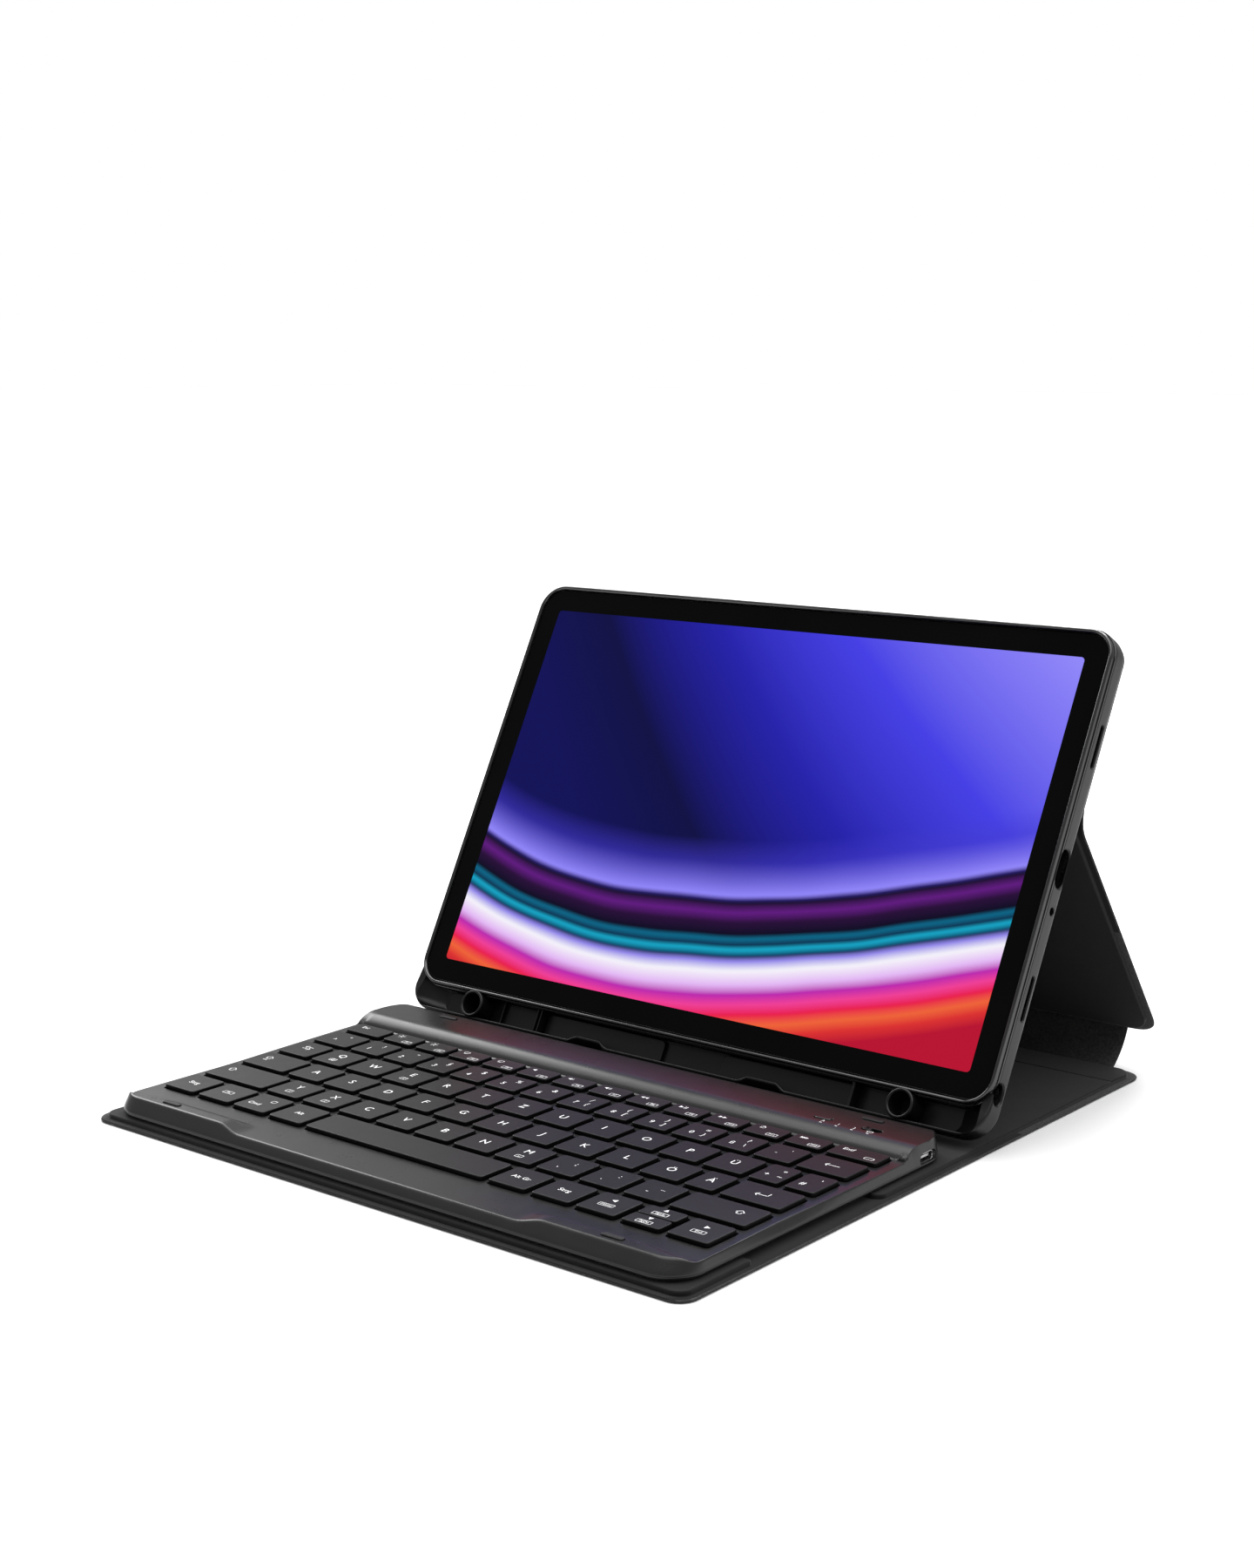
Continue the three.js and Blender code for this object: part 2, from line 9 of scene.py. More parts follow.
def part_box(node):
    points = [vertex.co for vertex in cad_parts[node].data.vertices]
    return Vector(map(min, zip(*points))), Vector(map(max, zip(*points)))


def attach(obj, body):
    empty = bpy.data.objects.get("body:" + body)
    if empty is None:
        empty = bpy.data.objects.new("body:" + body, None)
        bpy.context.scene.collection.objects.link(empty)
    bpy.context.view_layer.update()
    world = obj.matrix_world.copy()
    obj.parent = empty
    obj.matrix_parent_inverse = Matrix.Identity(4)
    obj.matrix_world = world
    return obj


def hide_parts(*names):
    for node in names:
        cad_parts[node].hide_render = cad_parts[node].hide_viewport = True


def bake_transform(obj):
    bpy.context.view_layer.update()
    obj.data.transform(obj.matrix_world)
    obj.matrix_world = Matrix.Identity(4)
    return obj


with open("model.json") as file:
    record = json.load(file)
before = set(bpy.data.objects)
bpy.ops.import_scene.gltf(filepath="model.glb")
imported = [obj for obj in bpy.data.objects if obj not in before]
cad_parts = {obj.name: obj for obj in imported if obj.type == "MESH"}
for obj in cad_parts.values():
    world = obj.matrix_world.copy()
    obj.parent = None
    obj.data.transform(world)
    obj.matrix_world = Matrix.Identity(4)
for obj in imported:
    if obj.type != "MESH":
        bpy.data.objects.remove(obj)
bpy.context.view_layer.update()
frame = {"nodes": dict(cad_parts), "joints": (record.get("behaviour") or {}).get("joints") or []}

# The looks of a folio keyboard case with a tablet in its tray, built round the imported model.
# Shapes are drawn in millimetres in three frames: the table's, the tray's and the kick panel's.

# ---------------------------------------------------------------- driving dimensions, mm

MM = 0.001
HALF_WIDTH = 128.0  # cover panels
LEATHER = 0.9
PANEL_TOP = 2.4  # top of the base's and the flap's lining
KICK_ANGLE = 53.3  # degrees from the table
KICK_TOP = 2.8
SPINE_HALF_WIDTH = 115.5
SPINE_BOW = 1.2
COVER_BACK_N = -10.9

SHELL = {"half": 129.4, "bottom": -21.3, "top": 159.2, "radius": 11.0}
TROUGH = {"half": 126.3, "bottom": -19.9, "top": -10.7, "floor": -7.0, "radius": 8.4}
PEN_RING = {"x": 97.0, "v": -15.2, "outer": 5.3, "inner": 4.1}
CAMERA_HOLE = {"x": -113.0, "v": 143.0, "radius": 9.0}
SPEAKER_VS = (118.2, 28.7)  # heights of the tablet's loudspeakers up both sides
PORT_V = 74.2  # height of its charging port

KEYBOARD = {"half": 123.3, "front": -138.3, "rear": 6.0, "radius": 12.0}
DECK = 7.6
BAR_TOP = 11.4
RIDGE_TOP = 9.4
KEY_TOP = 9.0
KEY_BOTTOM = 6.05
KEY_FIELD_HALF = 118.2
WELL = {"half": 119.1, "front": -119.2, "rear": -21.2, "radius": 1.5}

# ---------------------------------------------------------------- frames


def joint(name):
    return next(j for j in frame["joints"] if j["name"] == name)


def local_box(node, matrix):
    """Lowest and highest corner of a CAD node in one of the frames below."""
    inverse = matrix.inverted()
    points = [inverse @ v.co for v in frame["nodes"][node].data.vertices]
    low = Vector(min(p[k] for p in points) for k in range(3))
    high = Vector(max(p[k] for p in points) for k in range(3))
    return low, high


def box_mm(node):
    """A CAD node's box in millimetres, and the middle of its depth."""
    low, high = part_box(node)
    return low / MM, high / MM, (low.y + high.y) / 2 / MM


TABLE = Matrix.Scale(MM, 4)

# x across, y up along the display, z out of it, from the middle of the display's lower edge.
lift = Vector(joint("tablet_lift_out")["axis"])
TRAY_TILT = math.atan2(-lift.y, lift.z)
tray_turn = Matrix.Rotation(TRAY_TILT, 4, "X") @ Matrix.Scale(MM, 4)
display_low = local_box("tablet_display", tray_turn)[0]
bezel_high = local_box("tablet_bezel", tray_turn)[1]
TRAY = tray_turn @ Matrix.Translation((0, display_low.y, bezel_high.z))

# x across, y up along the kick panel to the fold, z into the stand.
FOLD = Vector(joint("stand_fold")["pos_m"])
KICK = (
    Matrix.Translation(FOLD)
    @ Matrix.Rotation(math.radians(180 - KICK_ANGLE), 4, "X")
    @ Matrix.Scale(MM, 4)
)
KICK_FOOT = Vector(joint("kick_panel_hinge")["pos_m"])
SPINE_FOOT = Vector(joint("rear_spine_hinge")["pos_m"])
BASE_FRONT_Y = joint("flap_spine_hinge")["pos_m"][1] / MM
FLAP_REAR_Y = joint("flap_panel_hinge")["pos_m"][1] / MM
FLAP_FRONT_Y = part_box("flap_outer_skin")[0].y / MM
BASE_REAR_Y = SPINE_FOOT.y / MM

# ---------------------------------------------------------------- mesh helpers


def ease(t):
    t = min(max(t, 0.0), 1.0)
    return t * t * (3 - 2 * t)


def outline(x0, x1, y0, y1, radii, steps=8, along=(1, 1)):
    """A rounded rectangle, counter-clockwise from its left front corner. along is how many parts the
    long and the short straight sides are divided into; a radius may be an (x, y) pair."""
    if not isinstance(radii, list):
        radii = [radii] * 4
    corners = [(x0, y0, 180), (x1, y0, 270), (x1, y1, 0), (x0, y1, 90)]
    arcs = []
    for (x, y, start), radius in zip(corners, radii):
        rx, ry = radius if isinstance(radius, tuple) else (radius, radius)
        rx, ry = max(rx, 0.02), max(ry, 0.02)
        cx = x + rx if x == x0 else x - rx
        cy = y + ry if y == y0 else y - ry
        angles = [math.radians(start + 90 * i / steps) for i in range(steps + 1)]
        arcs.append([(cx + rx * math.cos(a), cy + ry * math.sin(a)) for a in angles])
    points = []
    for k, arc in enumerate(arcs):
        points += arc
        (ax, ay), (bx, by) = arc[-1], arcs[(k + 1) % 4][0]
        parts = along[k % 2]
        points += [(ax + (bx - ax) * i / parts, ay + (by - ay) * i / parts) for i in range(1, parts)]
    return points


def inset_box(box, inset, radii, steps=8, along=(1, 1)):
    """The rounded rectangle round box, as (x0, x1, y0, y1), moved in by inset on every side."""
    x0, x1, y0, y1 = box
    return outline(x0 + inset, x1 - inset, y0 + inset, y1 - inset, radii, steps, along)


def at_height(points, z):
    return [(x, y, z) for x, y in points]


def shoulder(top, radius, steps=4):
    """The rounded upper rim of a plate, as (inset, height) pairs."""
    turn = [math.radians(90 * i / steps) for i in range(steps + 1)]
    return [(radius * (1 - math.cos(a)), top - radius * (1 - math.sin(a))) for a in turn]


def rim(bottom, top, low, high, steps=4):
    """Up the edge of a plate, with its lower and upper rims rounded to the radii low and high."""
    under = [(inset, bottom + top - z) for inset, z in shoulder(top, low, steps)]
    return under[::-1] + shoulder(top, high, steps)


def loft(loops, ring=False):
    """Vertices and faces over loops of equal length. A ring joins the last loop to the first."""
    count = len(loops[0])
    verts = [point for loop in loops for point in loop]
    pairs = [(k, k + 1) for k in range(len(loops) - 1)]
    if ring:
        pairs.append((len(loops) - 1, 0))
    faces = []
    for a, b in pairs:
        for i in range(count):
            j = (i + 1) % count
            faces.append((a * count + i, a * count + j, b * count + j, b * count + i))
    if not ring:
        faces.append(tuple(reversed(range(count))))
        faces.append(tuple(range(len(verts) - count, len(verts))))
    return verts, faces


def merged(*parts):
    """Several (vertices, faces) pairs as one."""
    verts, faces = [], []
    for part_verts, part_faces in parts:
        faces += [tuple(i + len(verts) for i in face) for face in part_faces]
        verts += part_verts
    return verts, faces


def plate(shape, profile):
    """A plate whose edge follows (inset, height) pairs. shape(inset) gives its outline."""
    return loft([at_height(shape(inset), z) for inset, z in profile])


def build(name, geometry, matrix=TABLE):
    verts, faces = geometry
    mesh = bpy.data.meshes.new(name)
    mesh.from_pydata([matrix @ Vector(v) for v in verts], [], faces)
    solid = bmesh.new()
    solid.from_mesh(mesh)
    bmesh.ops.recalc_face_normals(solid, faces=solid.faces)
    solid.to_mesh(mesh)
    solid.free()
    obj = bpy.data.objects.new(name, mesh)
    bpy.context.scene.collection.objects.link(obj)
    return obj


def bake_modifiers(obj):
    bpy.context.view_layer.update()
    graph = bpy.context.evaluated_depsgraph_get()
    mesh = bpy.data.meshes.new_from_object(obj.evaluated_get(graph))
    obj.modifiers.clear()
    obj.data = mesh


def cut(obj, *shapes, matrix=TABLE):
    """Takes closed shapes, given as (vertices, faces), away from a piece."""
    cutters = [build("cut", shape, matrix) for shape in shapes]
    for cutter in cutters:
        modifier = obj.modifiers.new("cut", "BOOLEAN")
        modifier.operation = "DIFFERENCE"
        modifier.solver = "EXACT"
        modifier.object = cutter
    bake_modifiers(obj)
    for cutter in cutters:
        bpy.data.objects.remove(cutter)


def join(obj, *others):
    """Adds other meshes to obj, as they are."""
    whole = bmesh.new()
    whole.from_mesh(obj.data)
    for other in others:
        whole.from_mesh(other.data)
        bpy.data.objects.remove(other)
    whole.to_mesh(obj.data)
    whole.free()


def use_material(obj, index):
    for polygon in obj.data.polygons:
        polygon.material_index = index


def shade(obj, sharp=50, weighted=True):
    obj.data.shade_smooth()
    obj.data.set_sharp_from_angle(angle=math.radians(sharp))
    if weighted:
        modifier = obj.modifiers.new("normals", "WEIGHTED_NORMAL")
        modifier.keep_sharp = True
        bake_modifiers(obj)


def paint(obj, *materials):
    for material in materials:
        obj.data.materials.append(material)


def finished(obj, body, nodes, slot, *materials, sharp=50, weighted=True):
    """Shades and paints a piece, and ties it to its body and CAD nodes. The slot argument is not used."""
    paint(obj, *materials)
    shade(obj, sharp, weighted)
    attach(obj, body)
    if nodes:
        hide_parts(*nodes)


# ---------------------------------------------------------------- materials


class Surface:
    """A Principled material whose colour, roughness and bump come from nodes in object space."""

    def __init__(self, name, metallic=0.0, specular=0.5):
        self.material = bpy.data.materials.new(name)
        self.material.use_nodes = True
        self.nodes = self.material.node_tree.nodes
        self.links = self.material.node_tree.links
        self.shader = self.nodes["Principled BSDF"]
        self.shader.inputs["Metallic"].default_value = metallic
        self.shader.inputs["Specular IOR Level"].default_value = specular
        self.coords = self.nodes.new("ShaderNodeTexCoord").outputs["Object"]
        self.normal = None

    def link(self, source, target):
        self.links.new(source, target)

    def stretched(self, scale):
        mapping = self.nodes.new("ShaderNodeMapping")
        mapping.inputs["Scale"].default_value = scale
        self.link(self.coords, mapping.inputs["Vector"])
        return mapping.outputs["Vector"]

    def noise(self, scale, detail=2.0, roughness=0.5, vector=None):
        node = self.nodes.new("ShaderNodeTexNoise")
        node.inputs["Scale"].default_value = scale
        node.inputs["Detail"].default_value = detail
        node.inputs["Roughness"].default_value = roughness
        self.link(vector or self.coords, node.inputs["Vector"])
        return node.outputs["Fac"]

    def cells(self, scale, feature="F1"):
        node = self.nodes.new("ShaderNodeTexVoronoi")
        node.feature = feature
        node.inputs["Scale"].default_value = scale
        self.link(self.coords, node.inputs["Vector"])
        return node.outputs["Distance"]

    def ramp(self, value, stops):
        node = self.nodes.new("ShaderNodeValToRGB")
        elements = node.color_ramp.elements
        while len(elements) < len(stops):
            elements.new(1.0)
        for element, (position, color) in zip(elements, stops):
            element.position = position
            element.color = color if len(color) == 4 else (*color, 1.0)
        self.link(value, node.inputs["Fac"])
        return node.outputs["Color"]

    def math(self, operation, a, b=0.0):
        node = self.nodes.new("ShaderNodeMath")
        node.operation = operation
        for socket, value in zip(node.inputs, (a, b)):
            if isinstance(value, (int, float)):
                socket.default_value = value
            else:
                self.link(value, socket)
        return node.outputs["Value"]

    def color(self, value, dark, light):
        self.link(self.ramp(value, [(0.25, dark), (0.75, light)]), self.shader.inputs["Base Color"])

    def roughness(self, value, low, high):
        node = self.nodes.new("ShaderNodeMapRange")
        node.inputs["To Min"].default_value = low
        node.inputs["To Max"].default_value = high
        self.link(value, node.inputs["Value"])
        self.link(node.outputs["Result"], self.shader.inputs["Roughness"])

    def bump(self, height, strength, distance):
        node = self.nodes.new("ShaderNodeBump")
        node.inputs["Strength"].default_value = strength
        node.inputs["Distance"].default_value = distance
        self.link(height, node.inputs["Height"])
        if self.normal is not None:
            self.link(self.normal, node.inputs["Normal"])
        self.normal = node.outputs["Normal"]
        self.link(self.normal, self.shader.inputs["Normal"])


def grey(value, tint=(1.0, 1.0, 1.0)):
    return tuple(value * t for t in tint)


def leather_material():
    s = Surface("pebbled_leather", specular=0.32)
    patches = s.noise(45, 3)
    s.color(patches, grey(0.0052), grey(0.0075, (1.0, 1.0, 1.02)))
    grain = s.cells(950, "F1")
    creases = s.noise(520, 4, 0.6)
    s.roughness(creases, 0.4, 0.66)
    s.bump(creases, 0.9, 0.0005)
    s.bump(grain, 0.7, 0.00025)
    s.bump(s.noise(90, 3), 0.15, 0.0006)
    return s.material


def lining_material():
    s = Surface("microfibre_lining", specular=0.1)
    s.color(s.noise(140, 4, 0.7), grey(0.0045), grey(0.0065))
    s.roughness(s.noise(900, 2), 0.72, 0.88)
    s.bump(s.noise(2600, 3, 0.7), 0.35, 0.00006)
    s.bump(s.noise(60, 2), 0.12, 0.0005)
    s.shader.inputs["Sheen Weight"].default_value = 0.2
    s.shader.inputs["Sheen Roughness"].default_value = 0.4
    return s.material


def painted_light_felt_material():
    """The rougher felt inside the rear spine, coloured paler than the lining as painted light, standing in
    for light that does not reach inside the spine.
    """
    s = Surface("spine_felt_painted_light", specular=0.1)
    # painted light: this felt is coloured several times paler than the lining
    s.color(s.noise(1100, 4, 0.8), grey(0.012), grey(0.06))
    s.roughness(s.noise(900, 2), 0.8, 0.95)
    s.bump(s.noise(1600, 3, 0.7), 0.5, 0.0001)
    return s.material


def moulded_material(name, dark, light, rough, grain, depth, specular=0.5):
    """Injection-moulded plastic: a fine even texture, with slight changes of tone and gloss."""
    s = Surface(name, specular=specular)
    s.color(s.noise(70, 3), dark, light)
    s.roughness(s.noise(160, 3, 0.6), rough - 0.05, rough + 0.05)
    s.bump(s.noise(grain, 2, 0.6), 0.3, depth)
    return s.material


def key_material():
    """Satin keycaps, with painted shade: their upright sides are coloured darker than their tops."""
    s = Surface("key_plastic", specular=0.16)
    parts = s.nodes.new("ShaderNodeSeparateXYZ")
    s.link(s.nodes["Texture Coordinate"].outputs["Normal"], parts.inputs["Vector"])
    mottle = s.math("ADD", s.math("MULTIPLY", s.noise(150, 3), 0.3), 0.85)
    # painted shade: the colour darkens as a face turns from facing up to upright, standing in for shade on
    # the keys' sides
    up = s.math("MULTIPLY", parts.outputs["Z"], mottle)
    painted_side_shade_tones = s.ramp(up, [(0.3, grey(0.001)), (0.85, grey(0.0062)), (1.0, grey(0.0068))])
    s.link(painted_side_shade_tones, s.shader.inputs["Base Color"])
    s.roughness(s.noise(160, 3, 0.6), 0.36, 0.44)
    s.bump(s.noise(2600, 2, 0.6), 0.3, 0.00003)
    return s.material


def metal_material(name, dark, light, rough, stretch=(1, 1, 1)):
    s = Surface(name, metallic=1.0)
    streaks = s.noise(900, 3, 0.6, s.stretched(stretch))
    s.color(streaks, dark, light)
    s.roughness(streaks, rough - 0.06, rough + 0.06)
    s.bump(streaks, 0.1, 0.00004)
    return s.material


def glass_material():
    s = Surface("black_glass", specular=0.035)
    s.color(s.noise(30, 2), grey(0.0012), grey(0.0017))
    s.roughness(s.noise(14, 3), 0.05, 0.085)
    return s.material


def ink_material():
    s = Surface("legend_ink", specular=0.3)
    s.color(s.noise(2200, 2), grey(0.62), grey(0.7))
    s.roughness(s.noise(1500, 2), 0.5, 0.6)
    return s.material


def board_material():
    s = Surface("pressed_board", specular=0.2)
    s.color(s.noise(320, 5, 0.7, s.stretched((1, 4, 4))), (0.2, 0.15, 0.1), (0.33, 0.26, 0.18))
    s.roughness(s.noise(500, 2), 0.8, 0.95)
    s.bump(s.noise(1400, 3), 0.4, 0.00008)
    return s.material


def circuit_material():
    s = Surface("printed_circuit", specular=0.5)
    tracks = s.cells(220, "DISTANCE_TO_EDGE")
    s.link(
        s.ramp(tracks, [(0.04, (0.28, 0.2, 0.06)), (0.07, (0.012, 0.05, 0.025))]),
        s.shader.inputs["Base Color"],
    )
    s.roughness(s.noise(300, 2), 0.3, 0.45)
    s.bump(tracks, 0.2, 0.00004)
    return s.material


def battery_material():
    s = Surface("battery_foil", metallic=0.7)
    s.color(s.noise(60, 4), grey(0.38), grey(0.5))
    s.roughness(s.noise(220, 4), 0.28, 0.42)
    s.bump(s.noise(130, 3), 0.3, 0.0003)
    return s.material


DISPLAY_HALF = 0.11845  # metres, half the lit picture's width
DISPLAY_HEIGHT = 0.1481


def display_material():
    """An abstract picture in the display's own frame: a blue to violet glow over soft waves of colour."""
    s = Surface("lit_display", specular=0.03)
    parts = s.nodes.new("ShaderNodeSeparateXYZ")
    s.link(s.stretched((1 / DISPLAY_HALF, 1 / DISPLAY_HEIGHT, 1)), parts.inputs["Vector"])
    across, up = parts.outputs["X"], parts.outputs["Y"]
    swell = s.math("MULTIPLY", s.math("SINE", s.math("MULTIPLY", across, 1.5)), -0.06)
    drift = s.math("MULTIPLY", s.math("SUBTRACT", s.noise(9, 2), 0.5), 0.05)
    tilt = s.math("MULTIPLY", s.math("MULTIPLY", across, across), -0.14)
    height = s.math("ADD", s.math("ADD", s.math("ADD", up, 0.09), swell), s.math("ADD", drift, tilt))
    waves = s.ramp(height, [
        (0.0, (0.5, 0.004, 0.03)), (0.03, (0.75, 0.03, 0.03)), (0.055, (0.9, 0.13, 0.04)),
        (0.08, (0.85, 0.01, 0.07)), (0.105, (0.9, 0.05, 0.32)), (0.13, (0.5, 0.02, 0.45)),
        (0.155, (0.8, 0.5, 0.95)), (0.19, (0.95, 0.93, 1.0)), (0.215, (0.3, 0.25, 0.85)),
        (0.228, (0.0, 0.03, 0.1)), (0.245, (0.005, 0.4, 0.6)), (0.257, (0.0, 0.03, 0.08)),
        (0.272, (0.0, 0.14, 0.26)), (0.284, (0.0, 0.0, 0.015)), (0.315, (0.02, 0.001, 0.04)),
        (0.34, (0.12, 0.008, 0.22)), (0.365, (0.004, 0.001, 0.02)), (0.372, (0.02, 0.01, 0.15)),
        (0.385, (0.3, 0.25, 1.0)), (0.47, (0.06, 0.045, 0.65)),
    ])
    glow = s.ramp(s.math("ADD", s.math("MULTIPLY", across, 0.42), s.math("MULTIPLY", height, 0.5)), [
        (0.0, (0.002, 0.002, 0.1)), (0.2, (0.0015, 0.0015, 0.06)), (0.42, (0.016, 0.013, 0.42)),
        (0.62, (0.06, 0.05, 0.82)), (0.86, (0.3, 0.26, 1.0)),
    ])
    blend = s.nodes.new("ShaderNodeMix")
    blend.data_type = "RGBA"
    s.link(s.ramp(height, [(0.385, grey(0.0)), (0.53, grey(1.0))]), blend.inputs["Factor"])
    s.link(waves, blend.inputs["A"])
    s.link(glow, blend.inputs["B"])
    picture = blend.outputs["Result"]
    s.link(picture, s.shader.inputs["Emission Color"])
    s.shader.inputs["Emission Strength"].default_value = 0.95
    s.shader.inputs["Base Color"].default_value = (0.003, 0.003, 0.003, 1.0)
    s.roughness(s.noise(14, 3), 0.05, 0.085)
    return s.material


INK = ink_material()
LEATHER_SKIN = leather_material()
LINING = lining_material()
# The spine's felt is coloured paler as painted light.
PAINTED_LIGHT_FELT = painted_light_felt_material()
TPU = moulded_material("tray_tpu", grey(0.0028), grey(0.0038), 0.32, 1500, 0.00003, 0.22)
TPU_LIP = moulded_material("tray_lip_tpu", grey(0.002), grey(0.003), 0.17, 1500, 0.00001, 0.65)
CASE_PLASTIC = moulded_material("keyboard_plastic", grey(0.0062), grey(0.0076), 0.29, 2200, 0.00002, 0.36)
KEY_PLASTIC = key_material()
RUBBER = moulded_material("pad_rubber", grey(0.005), grey(0.007), 0.55, 1800, 0.00005, 0.2)
TABLET_METAL = metal_material("tablet_metal", grey(0.16), grey(0.2), 0.36)
PLATED = metal_material("plated_steel", grey(0.55), grey(0.66), 0.28, (1, 12, 12))
GLASS = glass_material()
DISPLAY = display_material()
BOARD = board_material()
CIRCUIT = circuit_material()
BATTERY = battery_material()
LENS = moulded_material("light_lens", grey(0.5), grey(0.6), 0.2, 900, 0.00002)

# ---------------------------------------------------------------- cover leather and linings

SEAM_INSET = 4.35  # the pressed line that follows the outer edges
SEAM_DEPTH = 0.22
LINING_INSET = 2.4
BASE_JOIN_Y = 44.0  # where the two sheets under the base meet
KICK_JOIN = 55.0  # how far up the kick panel its two sheets meet
FAR = 60  # a distance from any cut end at which nothing shows of it


def narrowed(s, half, rx, ry, power=2.0):
    """Half the sheet's width at a distance s from an end with rounded corners."""
    if s >= ry:
        return half
    return half - rx + rx * max(0.0, 1 - ((ry - s) / ry) ** power) ** (1 / power)


SHEET_POINTS = 34  # round a sheet's cross-section


def sheet(stations):
    """A sheet of leather over (y, z), inward normal, half width and distance from its cut end."""
    loops = []
    for (y, z), (ny, nz), half, from_end in stations:
        squeeze = 1 - 0.75 * max(0.0, 1 - from_end / 0.4) ** 2
        across = [0.0, 0.1, 0.4, SEAM_INSET - 0.35, SEAM_INSET, SEAM_INSET + 0.35, 14, half - 20, half]
        depths = []
        for inset in across:
            rounding = 0.5 * max(0.0, 1 - inset / 0.4) ** 2
            near_seam = abs(min(inset, from_end) - SEAM_INSET) < 0.1
            depths.append((rounding, SEAM_DEPTH if near_seam else 0.0))
        outer, inner = [], []
        for inset, (rounding, seam) in zip(across, depths):
            spread = 0.5 + (0.5 - rounding) * squeeze
            outer.append((half - inset, LEATHER * (1 - spread) + seam))
            inner.append((half - inset, LEATHER * spread))
        profile = outer + [(-x, d) for x, d in reversed(outer[:-1])]
        profile += [(-x, d) for x, d in inner] + list(reversed(inner[:-1]))
        loops.append([(x, y + ny * d, z + nz * d) for x, d in profile])
    return loft(loops)


def spaced(start, stop, dense=(), gap=9.0):
    """Places from start to stop, closer together round the places named in dense."""
    places = {start, stop}
    count = max(1, round(abs(stop - start) / gap))
    places |= {start + (stop - start) * i / count for i in range(count + 1)}
    for centre in dense:
        places |= {centre + 0.75 * k for k in range(-8, 9)}
    low, high = min(start, stop), max(start, stop)
    return sorted((p for p in places if low <= p <= high), reverse=start > stop)


END_STEPS = [0.0, 0.08, 0.22, 0.4, SEAM_INSET - 0.35, SEAM_INSET, SEAM_INSET + 0.35]


def table_stations(ys, half):
    return [((y, 0.0), (0.0, 1.0), half(y), abs(y - FLAP_FRONT_Y)) for y in ys]


def front_leather():
    """The flap, its spine and the front of the base, in two sheets that meet on the spine."""
    corner = 6.5
    middle = (BASE_FRONT_Y + FLAP_REAR_Y) / 2

    def half(y):
        return narrowed(y - FLAP_FRONT_Y, HALF_WIDTH, corner, corner)

    arc = [corner * (1 - math.cos(math.radians(a))) for a in range(10, 91, 10)]
    ends = sorted(set(END_STEPS + arc))
    ys = [FLAP_FRONT_Y + s for s in ends]
    ys += [y for y in spaced(ys[-1], middle, [FLAP_REAR_Y]) if y > ys[-1] + 0.1]
    flap = build("flap_leather", sheet(table_stations(ys, half)))
    skin(flap, ["flap_outer_skin"])
    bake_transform(flap)
    ys = spaced(middle, BASE_JOIN_Y, [BASE_FRONT_Y])
    base = build("base_leather_front", sheet(table_stations(ys, lambda y: HALF_WIDTH)))
    skin(base, ["flap_spine"])
    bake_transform(base)


def round_hinge(y, z, dy=1.0, dz=0.0, reach=3.5):
    """The points before and after a hinge between which leather bends, in metres."""
    before = (0, (y - dy * reach) * MM, (z - dz * reach) * MM)
    after = (0, (y + dy * reach) * MM, (z + dz * reach) * MM)
    return before, after


def skin(obj, nodes, inside=LINING):
    """Leather outside and at the cut edges, lining inside."""
    paint(obj, LEATHER_SKIN, inside)
    sides = len(obj.data.vertices) - SHEET_POINTS
    for face in obj.data.polygons:
        if face.index < sides and SHEET_POINTS / 2 + 2 <= face.index % SHEET_POINTS < SHEET_POINTS - 3:
            face.material_index = 1
    shade(obj, 60, weighted=False)
    if nodes:
        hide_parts(*nodes)


def rear_path():
    """The outside of the leather from the base's rear over the spine and up the kick panel, as
    (point, inward normal, distance from the base's hinge)."""
    a = Vector((SPINE_FOOT.y, SPINE_FOOT.z)) / MM
    b = Vector((KICK_FOOT.y, KICK_FOOT.z)) / MM
    chord = b - a
    slope = math.degrees(math.atan2(chord.y, chord.x))
    kick_out = 90 - KICK_ANGLE
    points = []
    for angle in range(-90, round(slope - 90), 8):
        out = Vector((math.cos(math.radians(angle)), math.sin(math.radians(angle))))
        points.append((a + out * a.y, -out))
    out = Vector((math.cos(math.radians(slope - 90)), math.sin(math.radians(slope - 90))))
    for i in range(13):
        t = i / 12
        reach = a.y + (KICK_TOP / 2 - a.y) * t + SPINE_BOW * 4 * t * (1 - t)
        points.append((a + chord * t + out * reach, -out))
    turn = kick_out - (slope - 90)
    for i in range(1, 9):
        angle = math.radians(slope - 90 + turn * i / 8)
        out = Vector((math.cos(angle), math.sin(angle)))
        points.append((b + out * KICK_TOP / 2, -out))
    return points


